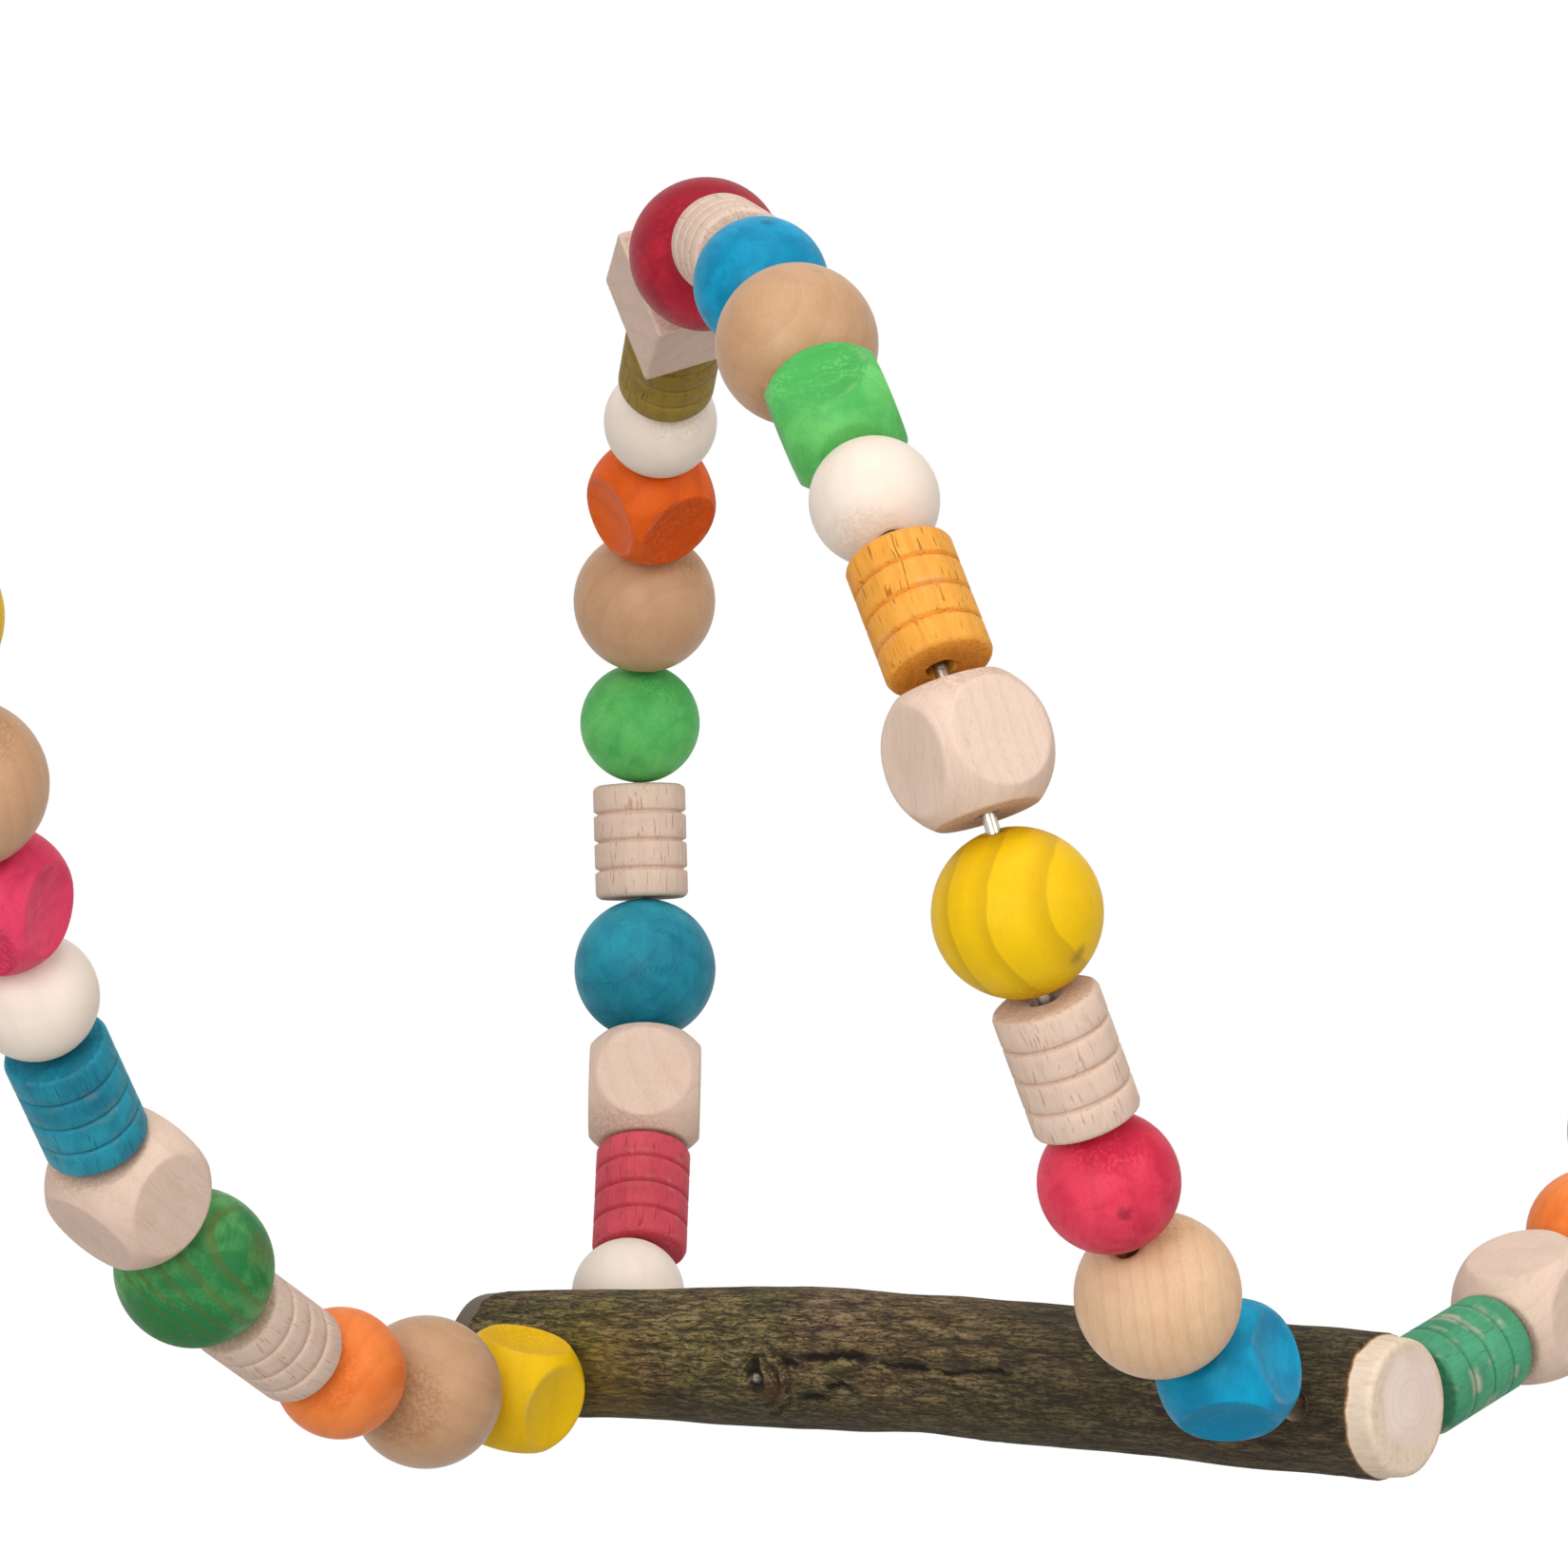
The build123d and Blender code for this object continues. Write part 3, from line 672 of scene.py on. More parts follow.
def drill(piece, place, way, radius, length):
    """Cuts a round hole with a boolean, its walls painted near-black like the crack as painted shade, and removes the
    cutter.
    """
    solid = ring_mesh("drill", lathe([(radius, -length), (radius, length)], drill_steps), joined=False, smooth=False)
    # the hole's walls get the crack mask, so their near-black colour is painted shade
    for mask in ("bark", "crack_and_hollow_shade"):
        solid.attributes.new(mask, "FLOAT", "POINT").data.foreach_set("value", [1.0] * len(solid.vertices))
    cutter = bpy.data.objects.new("drill", solid)
    scene.collection.objects.link(cutter)
    cutter.matrix_world = Matrix.Translation(place) @ way.to_track_quat("Z", "Y").to_matrix().to_4x4()
    cut = piece.modifiers.new("hole", "BOOLEAN")
    cut.object = cutter
    cut.operation = "DIFFERENCE"
    cut.solver = "EXACT"
    bpy.context.view_layer.update()
    result = bpy.data.meshes.new_from_object(piece.evaluated_get(bpy.context.evaluated_depsgraph_get()))
    piece.modifiers.clear()
    piece.data = result
    bpy.data.objects.remove(cutter)


drill(branch, left_hole, left_hole_way, hole_radius, drill_reach)
drill(branch, right_hole, right_hole_way, hole_radius, drill_reach)
settle(branch, branch_matrix)
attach(branch, "frame")
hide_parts("perch")
perch_low, perch_high = (np.array(corner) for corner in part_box("perch"))
corners = np.array([branch.matrix_world @ vertex.co for vertex in branch.data.vertices])
outside = max((perch_low - corners.min(axis=0)).max(), (corners.max(axis=0) - perch_high).max())
print("branch with", len(branch.data.polygons), "faces")
print("at most", round(outside / mm, 2), "mm past the packed perch")

# %% [markdown]
# ## Finishes: small helpers
# The finishes need a few more helpers: noise, sums with places, soft steps, layers of colour, and
# node groups with named sockets, so that an effect is built once and used by many materials.

# %% Helpers for nodes
def noise_of(tree, place, scale, detail, roughness=0.5, distortion=0.0):
    """The outputs of a noise, Fac and Color; the scale counts waves in a millimetre."""
    values = {"Vector": place, "Scale": scale, "Detail": detail, "Roughness": roughness, "Distortion": distortion}
    return put(tree, "ShaderNodeTexNoise", values).outputs


def place_of(tree, operation, first, second):
    """A place made from two others, or how far they are apart."""
    second_input = "Scale" if operation == "SCALE" else 1
    made = put(tree, "ShaderNodeVectorMath", {0: first, second_input: second}, operation=operation)
    return made.outputs["Value"] if operation == "DISTANCE" else made.outputs[0]


def kept(tree, name, output="Fac"):
    """A value that the mesh keeps at its points."""
    return put(tree, "ShaderNodeAttribute", attribute_name=name).outputs[output]


def between(tree, value, low, high, to_low=0.0, to_high=1.0):
    """A value taken from low..high to 0..1, eased at both ends."""
    made = put(
        tree,
        "ShaderNodeMapRange",
        {"Value": value, "From Min": low, "From Max": high, "To Min": to_low, "To Max": to_high},
        interpolation_type="SMOOTHSTEP",
    )
    return made.outputs["Result"]


def blend_colours(tree, share, first, second):
    """From the first colour at 0 to the second at 1; 6, 7 and 2 are the node's colour sockets."""
    return put(tree, "ShaderNodeMix", {"Factor": share, 6: first, 7: second}, data_type="RGBA").outputs[2]


def effect_group(name, inputs, outputs):
    """A new group, with its given values and the sockets that its results are sent to."""
    group = bpy.data.node_groups.new(name, "ShaderNodeTree")
    for label, kind, value in inputs:
        socket = group.interface.new_socket(label, in_out="INPUT", socket_type=f"NodeSocket{kind}")
        if value is not None:
            socket.default_value = value
    for label, kind in outputs:
        group.interface.new_socket(label, in_out="OUTPUT", socket_type=f"NodeSocket{kind}")
    return group, put(group, "NodeGroupInput").outputs, put(group, "NodeGroupOutput").inputs


def colour(text):
    """A colour written as six hexadecimal digits, as the linear values that shaders use."""
    values = [int(text[place : place + 2], 16) / 255 for place in (0, 2, 4)]
    return tuple(v / 12.92 if v <= 0.04045 else ((v + 0.055) / 1.055) ** 2.4 for v in values) + (1.0,)


print("mid grey is", round(colour("808080")[0], 3), "in linear light")


# %% [markdown]
# ## Wood grain
# Beech and maple show growth rings, as wide soft lines that run to a sharp edge; fine fibres along
# the grain; and ray flecks, short dark dashes. Sanding and handling add a mottle, a slow drift of
# tone and open pores. The first group works in millimetres with the grain along Z, and puts these
# six out as separate masks. The second finds end grain: the faces that look along the fibres.

# %% Build the grain group
grain_masks = ("Rings", "Fibres", "Flecks", "Mottle", "Drift", "Pores")
grain, given, sent = effect_group(
    "wood_grain",
    [
        ("Place", "Vector", None), ("Ring Gap", "Float", 2.6), ("Waviness", "Float", 1.0),
        ("Fleck Share", "Float", 0.5),
    ],
    [(mask, "Float") for mask in grain_masks],
)
waver = place_of(grain, "SUBTRACT", noise_of(grain, given["Place"], 0.07, 2.0)["Color"], (0.5, 0.5, 0.5))
waver = place_of(grain, "SCALE", place_of(grain, "SCALE", waver, 3.0), given["Waviness"])
bent = place_of(grain, "ADD", given["Place"], waver)
from_pith = place_of(grain, "DISTANCE", place_of(grain, "MULTIPLY", bent, (1, 1, 0)), (0, 0, 0))
year = combine(grain, from_pith, given["Ring Gap"], "DIVIDE")
season = put(grain, "ShaderNodeMath", {0: year}, operation="FRACT").outputs[0]
late = between(grain, season, 0.5, 0.95)
close = between(grain, season, 0.95, 1.0, 1.0, 0.0)
fibre_place = place_of(grain, "MULTIPLY", bent, (3.2, 3.2, 0.16))
fleck_place = place_of(grain, "MULTIPLY", bent, (2.4, 2.4, 0.2))
fleck_mask = between(grain, noise_of(grain, fleck_place, 1.0, 1.0)["Fac"], 0.64, 0.70)
found = {
    "Rings": combine(grain, late, close, "MULTIPLY"),
    "Fibres": noise_of(grain, fibre_place, 1.0, 4.0, roughness=0.65)["Fac"],
    "Flecks": combine(grain, fleck_mask, given["Fleck Share"], "MULTIPLY"),
    "Mottle": noise_of(grain, given["Place"], 0.22, 4.0, distortion=0.6)["Fac"],
    "Drift": noise_of(grain, given["Place"], 0.055, 1.0)["Fac"],
    "Pores": noise_of(grain, given["Place"], 1.5, 4.0, roughness=0.7)["Fac"],
}
for mask in grain_masks:
    grain.links.new(found[mask], sent[mask])
print("grain group with", len(grain.nodes), "nodes")

# %% Build the end grain group
end_inputs = [("Facing", "Vector", None), ("Tilt", "Vector", None)]
ends, given, sent = effect_group("end_grain", end_inputs, [("Mask", "Float")])
turned = {"Vector": given["Facing"], "Rotation": given["Tilt"]}
in_grain = put(ends, "ShaderNodeMapping", turned, vector_type="VECTOR").outputs[0]
along_grain = put(ends, "ShaderNodeSeparateXYZ", {0: in_grain}).outputs["Z"]
ends.links.new(between(ends, combine(ends, along_grain, 0.0, "ABSOLUTE"), 0.72, 0.97), sent["Mask"])
print("end grain group with", len(ends.nodes), "nodes")

# %% [markdown]
# ## Dye and wear
# Dye soaks in unevenly: more in soft fibres, less round the growth rings, in clouds a few
# millimetres across, and most of all in end grain, where the cut pores drink it. Rubbing takes it
# off again, first along the edges, and a few knocks have left dark bruises. Each of the three is a
# group: the dye takes the grain's masks and gives back a colour, a roughness and a height, and the
# others change the colour.

# %% Build the dye group
dye, given, sent = effect_group(
    "dyed_wood",
    [
        *[(mask, "Float", 0.5) for mask in grain_masks], ("End Grain", "Float", 0.0),
        ("Light Tone", "Color", None), ("Dark Tone", "Color", None), ("Line Tone", "Color", None),
        ("Ring Share", "Float", 0.1), ("Fibre Share", "Float", 0.3), ("Cloud Share", "Float", 0.3),
        ("Roughness", "Float", 0.5),
    ],
    [("Colour", "Color"), ("Roughness", "Float"), ("Hollows", "Float")],
)
fibre_part = combine(dye, between(dye, given["Fibres"], 0.35, 0.75), given["Fibre Share"], "MULTIPLY")
cloud_part = combine(dye, between(dye, given["Mottle"], 0.35, 0.7), given["Cloud Share"], "MULTIPLY")
drift_part = combine(dye, between(dye, given["Drift"], 0.35, 0.65), given["Cloud Share"], "MULTIPLY")
pore_mask = between(dye, given["Pores"], 0.4, 0.6, 0.05, 0.95)
end_part = combine(dye, given["End Grain"], pore_mask, "MULTIPLY")
clouded = combine(dye, combine(dye, fibre_part, cloud_part), drift_part)
tone = put(dye, "ShaderNodeMath", {0: clouded, 1: end_part}, operation="ADD", use_clamp=True).outputs[0]
soaked = blend_colours(dye, tone, given["Light Tone"], given["Dark Tone"])
ring_part = combine(dye, given["Rings"], given["Ring Share"], "MULTIPLY")
ringed = blend_colours(dye, ring_part, soaked, given["Line Tone"])
dye.links.new(blend_colours(dye, given["Flecks"], ringed, given["Line Tone"]), sent["Colour"])
uneven = between(dye, given["Fibres"], 0.3, 0.8, -0.05, 0.08)
matt_end = combine(dye, given["End Grain"], 0.18, "MULTIPLY")
dye.links.new(combine(dye, combine(dye, given["Roughness"], uneven), matt_end), sent["Roughness"])
dye.links.new(combine(dye, combine(dye, fibre_part, given["Flecks"]), end_part), sent["Hollows"])
print("dye group with", len(dye.nodes), "nodes")

# %% Build the wear group
wear, given, sent = effect_group(
    "rubbed_edges",
    [
        ("Colour", "Color", None), ("Bare Wood", "Color", None), ("Edge", "Float", 0.0), ("Mottle", "Float", 0.5),
        ("Share", "Float", 0.2),
    ],
    [("Colour", "Color")],
)
patchy = combine(wear, between(wear, given["Mottle"], 0.5, 0.7), given["Share"], "MULTIPLY")
rubbed = combine(wear, patchy, given["Edge"], "MULTIPLY")
wear.links.new(blend_colours(wear, rubbed, given["Colour"], given["Bare Wood"]), sent["Colour"])
print("wear group with", len(wear.nodes), "nodes")

# %% Build the bruise group
bruise, given, sent = effect_group(
    "bruised_spot",
    [
        ("Colour", "Color", None), ("Tone", "Color", None), ("Place", "Vector", None), ("Spot", "Vector", None),
        ("Radius", "Float", 1.0),
    ],
    [("Colour", "Color")],
)
ragged = noise_of(bruise, given["Place"], 0.7, 1.0)["Fac"]
spread_far = combine(bruise, place_of(bruise, "DISTANCE", given["Place"], given["Spot"]), given["Radius"], "DIVIDE")
ragged_far = combine(bruise, spread_far, between(bruise, ragged, 0.35, 0.65, -0.2, 0.2))
bruised = between(bruise, ragged_far, 1.4, 0.2, 0.0, 0.6)
bruise.links.new(blend_colours(bruise, bruised, given["Colour"], given["Tone"]), sent["Colour"])
print("bruise group with", len(bruise.nodes), "nodes")

# %% [markdown]
# ## Bare, lacquered and dyed wood
# Each finish is a row of values: a light, a dark and a line tone, how strongly the rings, fibres,
# flecks and clouds of the dye show, how rough the surface is and how far apart the rings are. Every
# bead gets its own material, because its grain is cut from another part of the plank. A few beads
# have clear growth rings or a bruise of their own.

# %% List the finishes
wood_finishes = {
    # light, dark, line, rings, fibres, flecks, clouds, roughness, ring gap in mm
    "natural": ("E6CDBC", "D0B09C", "A9826A", 0.08, 0.32, 0.60, 0.16, 0.62, 3.0),
    "white": ("F1E4D7", "E4D2C0", "D8C2AC", 0.08, 0.12, 0.10, 0.20, 0.45, 4.0),
    "tan": ("CBA07A", "B1845F", "936846", 0.10, 0.25, 0.20, 0.18, 0.40, 3.5),
    "maple": ("EAC8A4", "D3A67C", "B98558", 0.14, 0.30, 0.25, 0.25, 0.45, 2.4),
    "yellow": ("F2C60A", "E2B004", "A87E0C", 0.08, 0.30, 0.20, 0.22, 0.48, 6.0),
    "orange": ("FC9048", "EC7632", "C05A22", 0.12, 0.25, 0.20, 0.40, 0.46, 4.0),
    "deep_orange": ("EA661A", "CE4E0A", "A23C0C", 0.15, 0.30, 0.30, 0.45, 0.50, 4.0),
    "amber": ("F2AE4C", "DE9030", "A8641A", 0.15, 0.55, 0.85, 0.20, 0.56, 3.0),
    "olive": ("A08638", "806820", "5C4812", 0.15, 0.30, 0.70, 0.40, 0.58, 3.0),
    "teal": ("2C9CB2", "16748C", "0C4C62", 0.18, 0.30, 0.55, 0.45, 0.48, 4.0),
    "blue": ("0CA8D4", "0584AE", "056486", 0.10, 0.30, 0.30, 0.60, 0.48, 4.0),
    "green": ("72CC6E", "4CAE58", "2E8240", 0.10, 0.28, 0.35, 0.55, 0.48, 4.0),
    "dark_green": ("66AE60", "267640", "5E5A24", 0.20, 0.28, 0.45, 0.60, 0.48, 2.7),
    "sea_green": ("56AA80", "3A8663", "4A7A60", 0.12, 0.32, 0.70, 0.50, 0.58, 3.0),
    "red": ("C62A3E", "9A182C", "761020", 0.15, 0.30, 0.30, 0.60, 0.46, 4.0),
    "rose": ("DA5866", "BC404E", "8E2C3C", 0.15, 0.32, 0.60, 0.40, 0.58, 3.0),
    "pink": ("EE4A6E", "D03058", "A82446", 0.10, 0.28, 0.30, 0.50, 0.50, 4.0),
    "hot_pink": ("EC4660", "CA2644", "981A36", 0.10, 0.28, 0.25, 0.55, 0.46, 4.0),
}
# flecks show as dashes on a turned side, and hardly at all on sanded balls and blocks
block_flecks = 0.25
fleck_by_kind = {"ribbed": 1.0, "large_ball": 0.35, "medium_ball": 0.3, "small_ball": 0.3}
# beads whose growth rings stand out: where the pith lay in mm, how strong the lines are, the tilt
ring_marks = {
    "turned_loop_bead_20": ((17.0, 3.0), 0.38, (0.12, 0.08, 0)),
    "turned_left_bead_05": ((10.0, 1.0), 0.5, (math.pi / 2, 0.1, 0)),
    "turned_loop_bead_23": ((24.0, -10.0), 0.16, (0.5, 0.2, 0)),
}
# bruises: how far from the bead's middle in mm (right, away, up), radius in mm, tone
bruises = {
    "turned_loop_bead_22": ((1.8, -9.7, -3.9), 1.2, "6E1428"),
    "turned_loop_bead_20": ((8.6, -6.9, -5.8), 1.5, "8A6820"),
    "turned_loop_bead_14": ((1.0, -5.0, 9.0), 1.1, "0E4C68"),
}
wear_by_finish = {"sea_green": 0.55, "teal": 0.1}
usual_wear = 0.15
lacquered = ("tan", "white", "maple")
bare_wood = "E2CDB8"
print(len(wood_finishes), "finishes, and", len(ring_marks), "beads with marked rings")


# %% Describe one bead's wood
def wood_material(bead, finish, kind, seed):
    """The wood of one bead: its place in the plank, its grain, dye, wear and any bruise."""
    light, dark, line, rings, fibres, flecks, clouds, rough, ring_gap = wood_finishes[finish]
    spread = np.random.default_rng(seed)
    aside = spread.uniform(18, 60)
    pith = (aside * math.cos(seed * 2.4), aside * math.sin(seed * 2.4))
    tilt = (0, 0, 0) if kind == "ribbed" else tuple(spread.uniform(-0.5, 0.5, 3))
    if kind == "dished":
        tilt = (math.pi / 2, tilt[1] * 0.3, 0)
    if bead.name in ring_marks:
        pith, rings, tilt = ring_marks[bead.name]
    material, tree = blank_material(f"{finish}_{bead.name}")
    own_place = kept(tree, "own_place", "Vector")
    plank_place = {"Vector": own_place, "Location": (pith[0], pith[1], seed * 37.0), "Rotation": tilt}
    in_plank = put(tree, "ShaderNodeMapping", plank_place).outputs[0]
    end_values = {"Facing": kept(tree, "own_facing", "Vector"), "Tilt": tilt}
    end_grain = put(tree, "ShaderNodeGroup", end_values, node_tree=ends).outputs["Mask"]
    figure_values = {
        "Place": in_plank,
        "Ring Gap": ring_gap * float(spread.uniform(0.85, 1.2)),
        "Fleck Share": flecks * fleck_by_kind.get(kind, block_flecks),
    }
    figure = put(tree, "ShaderNodeGroup", figure_values, node_tree=grain).outputs
    dye_values = {mask: figure[mask] for mask in grain_masks}
    dye_values["End Grain"] = end_grain
    dye_values |= {"Light Tone": colour(light), "Dark Tone": colour(dark), "Line Tone": colour(line)}
    dye_values |= {"Ring Share": rings, "Fibre Share": fibres, "Cloud Share": clouds, "Roughness": rough}
    dyed = put(tree, "ShaderNodeGroup", dye_values, node_tree=dye).outputs
    wear_values = {"Colour": dyed["Colour"], "Bare Wood": colour(bare_wood), "Edge": kept(tree, "edge")}
    wear_values |= {"Mottle": figure["Mottle"], "Share": wear_by_finish.get(finish, usual_wear)}
    worn = put(tree, "ShaderNodeGroup", wear_values, node_tree=wear).outputs["Colour"]
    if bead.name in bruises:
        offset, radius, tone = bruises[bead.name]
        spot = seats[bead.name].to_3x3().inverted() @ Vector(offset)
        bruise_values = {"Colour": worn, "Tone": colour(tone), "Place": own_place, "Spot": spot, "Radius": radius}
        worn = put(tree, "ShaderNodeGroup", bruise_values, node_tree=bruise).outputs["Colour"]
    bump_values = {"Height": dyed["Hollows"], "Strength": 0.22, "Distance": 0.00014}
    bump = put(tree, "ShaderNodeBump", bump_values, invert=True).outputs[0]
    surface = {"Base Color": worn, "Roughness": dyed["Roughness"], "Normal": bump}
    surface["Specular IOR Level"] = 0.32 if finish in lacquered else 0.16
    shader = put(tree, "ShaderNodeBsdfPrincipled", surface)
    put(tree, "ShaderNodeOutputMaterial", {"Surface": shader.outputs[0]})
    return material


# %% Finish the beads
for bead, kind, finish, seed in beads:
    bead.data.materials.clear()
    bead.data.materials.append(wood_material(bead, finish, kind, seed))
print("finished", len(beads), "beads in", len(wood_finishes), "woods and dyes")

# %% [markdown]
# ## Bark and cut wood
# The bark is brown with green and rosy patches, pale ridges and dark fissures, with painted shade on its
# underside and a painted shadow of the beads towards the right end. Noise drawn out along the branch
# gives the strands, and thin lines between long cells give the splits of growing bark.

# %% Lay out the patterns of the bark
bark_finish, tree = blank_material("branch_bark")
in_mm = kept(tree, "own_place", "Vector")
branch_place = put(tree, "ShaderNodeSeparateXYZ", {0: in_mm}).outputs
drawn = place_of(tree, "MULTIPLY", in_mm, (0.17, 1.0, 1.0))
broad = noise_of(tree, in_mm, 0.09, 3.0)["Fac"]
patches = noise_of(tree, in_mm, 0.05, 2.0)["Fac"]
speck = noise_of(tree, in_mm, 1.6, 3.0)["Fac"]
strand = noise_of(tree, drawn, 0.8, 9.0, roughness=0.74)["Fac"]
fine = noise_of(tree, drawn, 3.4, 4.0, roughness=0.7)["Fac"]
crumbs = noise_of(tree, place_of(tree, "MULTIPLY", in_mm, (0.5, 1.0, 1.0)), 2.3, 2.0)["Fac"]
crooked = place_of(tree, "SCALE", noise_of(tree, drawn, 0.9, 3.0)["Color"], 1.6)
split_place = place_of(tree, "ADD", drawn, crooked)


def split_lines(scale, width):
    """Thin lines between long cells, as bark splits when the branch grows."""
    cells = put(tree, "ShaderNodeTexVoronoi", {"Vector": split_place, "Scale": scale}, feature="DISTANCE_TO_EDGE")
    return between(tree, cells.outputs["Distance"], width, 0.0)


wide_split = combine(tree, split_lines(0.42, 0.10), between(tree, strand, 0.62, 0.42), "MULTIPLY")
fine_split = combine(tree, split_lines(1.15, 0.14), between(tree, fine, 0.62, 0.40), "MULTIPLY")
splits = combine(tree, wide_split, fine_split, "MAXIMUM")
print("bark patterns from", len(tree.nodes), "nodes")

# %% [markdown]
# Colours go on in layers, each with a mask of its own. Painted shade darkens the underside, and a painted
# shadow of the beads the right part. The marks come last: a rusty flake by the knot, painted shade that
# makes the crack, the knot's pit and the drilled holes near-black, the knot's pale heart and a yellow
# bloom where the dyed block rubs. A mark's mask is how far a point lies from the mark's middle, in
# millimetres on the branch.

# %% Colour the bark
rosy_far = place_of(tree, "DISTANCE", in_mm, (80.0, -4.0, 12.6))
flake_far = place_of(tree, "DISTANCE", in_mm, (70.4, -9.2, -2.4))
stain_far = place_of(tree, "DISTANCE", in_mm, (30.1, -10.0, -3.0))
stain_edge = combine(tree, stain_far, combine(tree, speck, 10.0, "MULTIPLY"))
stain_strands = between(tree, strand, 0.35, 0.6, 0.1, 0.5)
# painted shade: the underside is darker, and the right part carries a painted shadow of the beads
painted_underside_shade = between(tree, branch_place["Z"], 1.0, -8.0, 0.0, 0.60)
painted_bead_shadow = between(tree, branch_place["X"], 96.0, 128.0, 0.0, 0.55)
bark_layers = (
    (between(tree, patches, 0.46, 0.62), "706730"),
    (between(tree, rosy_far, 12.0, 4.0, 0.0, 0.75), "967360"),
    (between(tree, strand, 0.42, 0.68), "A38D64"),
    (between(tree, strand, 0.50, 0.34, 0.0, 0.75), "382D1B"),
    (between(tree, fine, 0.47, 0.33), "231B11"),
    (between(tree, crumbs, 0.46, 0.34, 0.0, 0.6), "2A2114"),
    (between(tree, crumbs, 0.56, 0.70, 0.0, 0.6), "9A885E"),
    (between(tree, speck, 0.66, 0.74), "8E8468"),
    (combine(tree, splits, 0.85, "MULTIPLY"), "1D160E"),
    # dark fissures, and painted shade in the troughs of the knot's collar
    (combine(tree, kept(tree, "fissure_and_trough_shade"), 0.75, "MULTIPLY"), "241B11"),
    (between(tree, flake_far, 3.2, 1.0, 0.0, 0.7), "6A4426"),
    # painted shade on the underside and a painted shadow of the beads on the right part
    (combine(tree, painted_underside_shade, painted_bead_shadow, "MAXIMUM"), "2A2114"),
    # painted shade: the crack, the knot's pit and the drilled holes are near-black
    (kept(tree, "crack_and_hollow_shade"), "1E120C"),
    (kept(tree, "knot_heart"), "C9BFB2"),
    (combine(tree, between(tree, stain_edge, 22.0, 8.0), stain_strands, "MULTIPLY"), "9C8214"),
)
bark_colour = blend_colours(tree, between(tree, broad, 0.35, 0.65), colour("82683F"), colour("69532C"))
for share, tone in bark_layers:
    bark_colour = blend_colours(tree, share, bark_colour, colour(tone))
print("bark in", len(bark_layers), "layers")

# %% [markdown]
# The peeled ends are cream sapwood round a pinker heart with faint year rings. The left end is
# older: its band has greyed to nearly the colour of the bark. A thin rim of inner bark shows where
# the bark stops.

# %% Colour the cut ends and finish the branch
bark_mask = kept(tree, "bark")
from_pith = place_of(tree, "DISTANCE", place_of(tree, "MULTIPLY", in_mm, (0.0, 1.0, 1.0)), (0.0, 1.2, 1.4))
heart_edge = combine(tree, from_pith, combine(tree, broad, 3.0, "MULTIPLY"))
heart_years = combine(tree, heart_edge, 0.62, "MULTIPLY")
year_rings = put(tree, "ShaderNodeMath", {0: heart_years}, operation="FRACT").outputs[0]
sapwood = blend_colours(tree, between(tree, strand, 0.4, 0.7), colour("E8D3BE"), colour("D6BC9F"))
heartwood = blend_colours(tree, between(tree, broad, 0.35, 0.65), colour("F2DED2"), colour("E8CFC2"))
ringed = blend_colours(tree, between(tree, year_rings, 0.55, 0.95, 0.0, 0.1), heartwood, colour("C09C8C"))
fresh_cut = blend_colours(tree, between(tree, heart_edge, 10.4, 7.6), sapwood, ringed)
greyed = between(tree, branch_place["X"], 12.0, 8.0, 0.0, 0.92)
cut_wood = blend_colours(tree, greyed, fresh_cut, colour("4A4030"))
edged = blend_colours(tree, between(tree, bark_mask, 0.08, 0.45), cut_wood, colour("9A6E3C"))
whole = blend_colours(tree, between(tree, bark_mask, 0.45, 0.8), edged, bark_colour)
coarse = combine(tree, combine(tree, strand, 0.6, "MULTIPLY"), combine(tree, fine, 0.4, "MULTIPLY"))
height = combine(tree, coarse, combine(tree, crumbs, 0.35, "MULTIPLY"))
split_height = combine(tree, height, combine(tree, splits, 0.55, "MULTIPLY"), "SUBTRACT")
bark_height = combine(tree, split_height, bark_mask, "MULTIPLY")
bump = put(tree, "ShaderNodeBump", {"Height": bark_height, "Strength": 0.85, "Distance": 0.0009})
rough = between(tree, bark_mask, 0.2, 0.8, 0.62, 0.85)
surface = {"Base Color": whole, "Roughness": rough, "Normal": bump.outputs[0], "IOR": 1.45}
shader = put(tree, "ShaderNodeBsdfPrincipled", surface)
put(tree, "ShaderNodeOutputMaterial", {"Surface": shader.outputs[0]})
branch.data.materials.clear()
branch.data.materials.append(bark_finish)
print("branch finish with", len(tree.nodes), "nodes")

# %% [markdown]
# ## Wire, links and sleeves
# The wire is drawn steel, the links and their sleeves are bright zinc. Both are metal shaders
# whose gloss is broken by faint draw marks and handling.

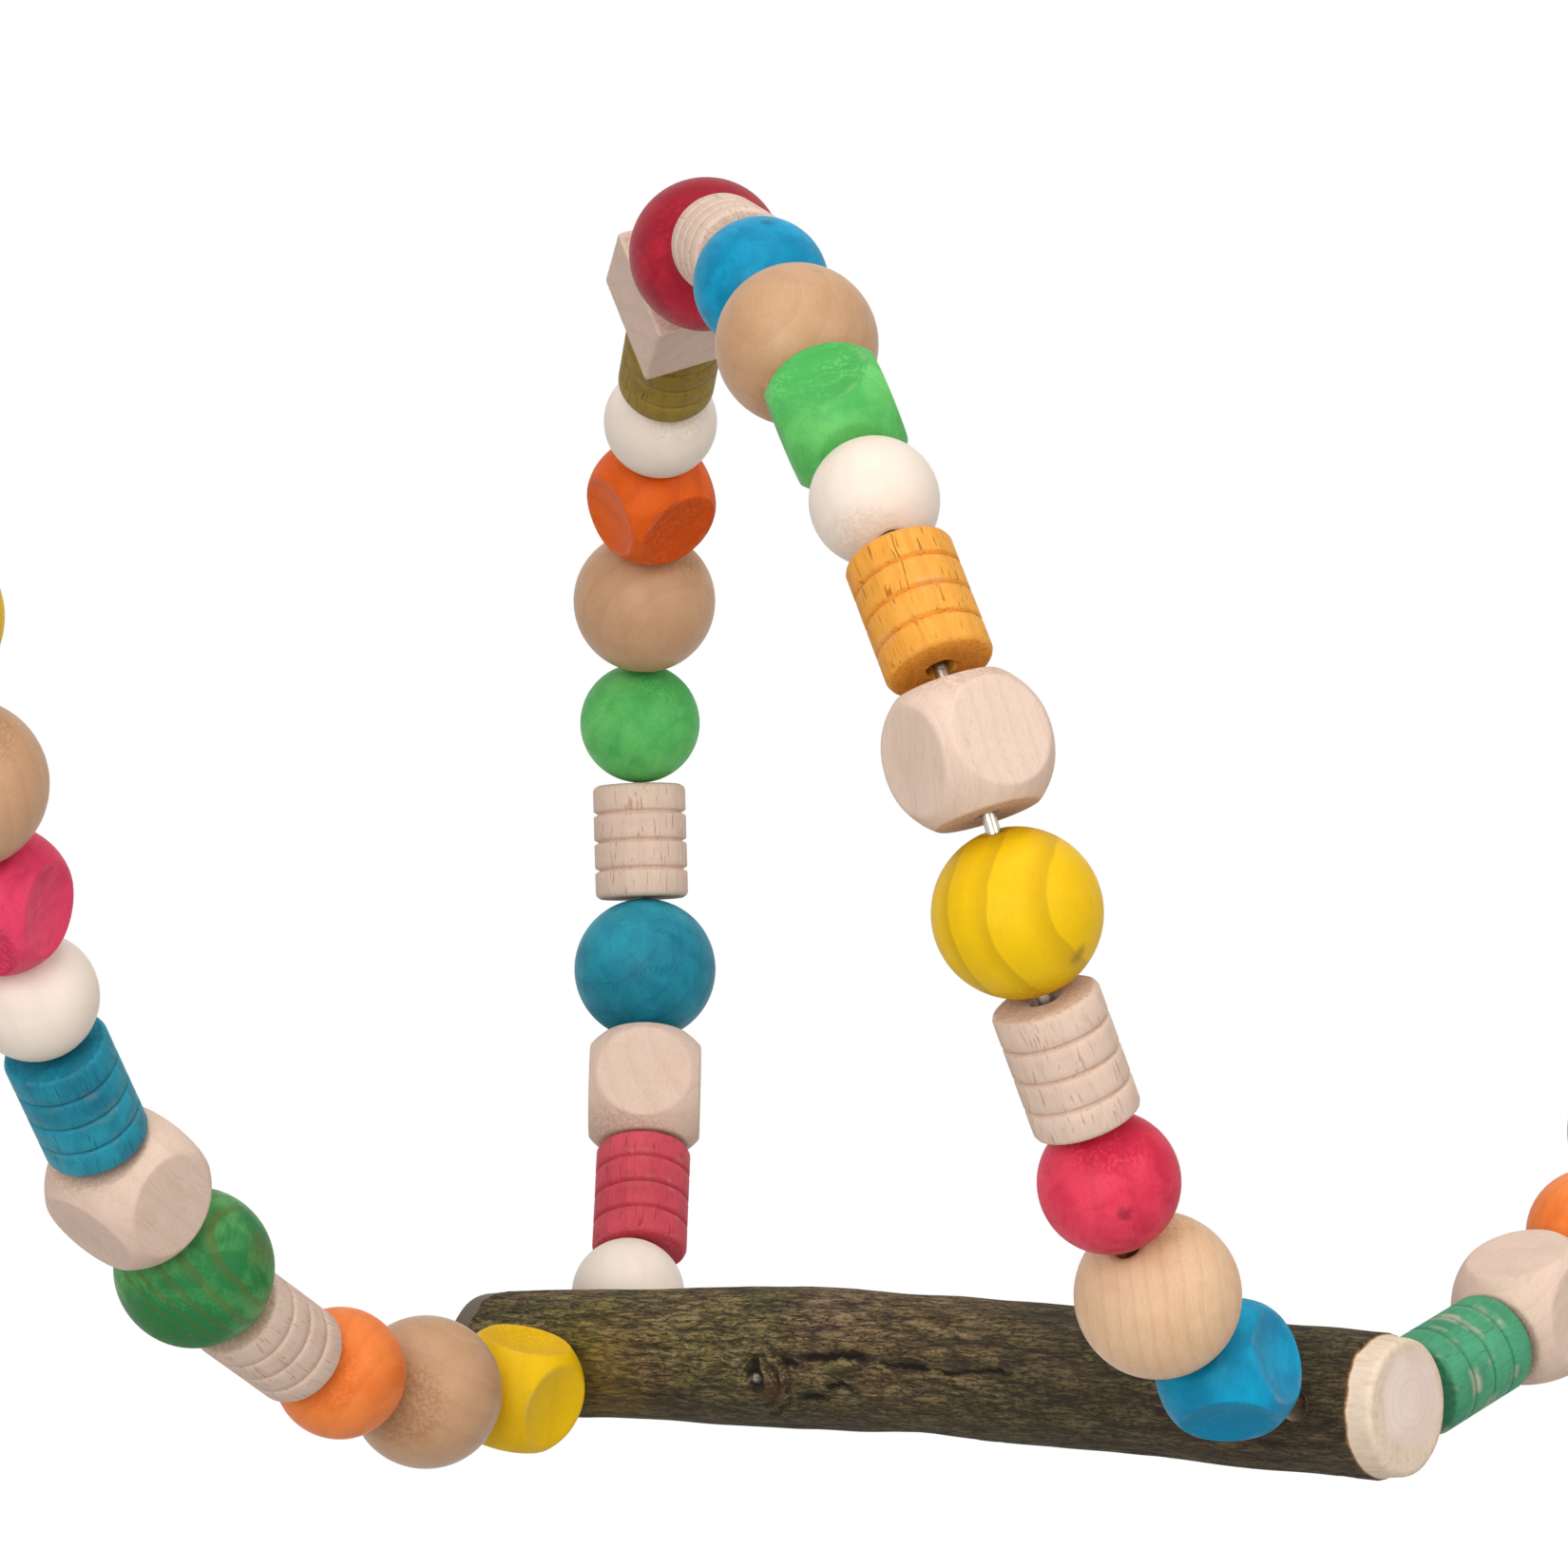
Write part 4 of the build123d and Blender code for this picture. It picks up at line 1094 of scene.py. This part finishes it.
# %% Build the group of metal marks
marking, given, sent = effect_group(
    "metal_marks",
    [("Place", "Vector", None), ("Mark Size", "Float", 0.2)],
    [("Cloud", "Float"), ("Marks", "Float")],
)
fine_size = combine(marking, given["Mark Size"], 9.0, "MULTIPLY")
for label, size, detail in (("Cloud", given["Mark Size"], 4.0), ("Marks", fine_size, 3.0)):
    marking.links.new(noise_of(marking, given["Place"], size, detail)["Fac"], sent[label])
print("metal group with", len(marking.nodes), "nodes")


# %% Finish the metal
def metal_material(name, light, dark, low_rough, high_rough, mark_size):
    """A metal with a cloudy tone and a gloss that runs between two roughnesses."""
    material, tree = blank_material(name)
    local = put(tree, "ShaderNodeTexCoord").outputs["Object"]
    in_mm = place_of(tree, "SCALE", local, 1 / mm)
    handled = put(tree, "ShaderNodeGroup", {"Place": in_mm, "Mark Size": mark_size}, node_tree=marking).outputs
    tone = blend_colours(tree, between(tree, handled["Cloud"], 0.35, 0.7), colour(light), colour(dark))
    rough = between(tree, handled["Marks"], 0.3, 0.7, low_rough, high_rough)
    bump = put(tree, "ShaderNodeBump", {"Height": handled["Marks"], "Strength": 0.08, "Distance": 0.00008})
    surface = {"Base Color": tone, "Metallic": 1.0, "Roughness": rough, "Normal": bump.outputs[0]}
    shader = put(tree, "ShaderNodeBsdfPrincipled", surface)
    put(tree, "ShaderNodeOutputMaterial", {"Surface": shader.outputs[0]})
    return material


wire_finish = metal_material("drawn_steel", "C9C2B6", "A39A8C", 0.22, 0.38, 0.25)
link_finish = metal_material("bright_zinc", "D6D8DA", "B4B8BC", 0.24, 0.42, 0.18)
for node in ("frame_wire", "left_link", "right_link", "left_link_sleeve", "right_link_sleeve"):
    nodes[node].data.materials.clear()
    nodes[node].data.materials.append(wire_finish if node == "frame_wire" else link_finish)
print("metal on the wire, links and sleeves")

# %% [markdown]
# ## Finish
# The last cell sets the Standard view transform.

# %% Set the view transform
scene.view_settings.view_transform = "Standard"
bpy.context.view_layer.update()
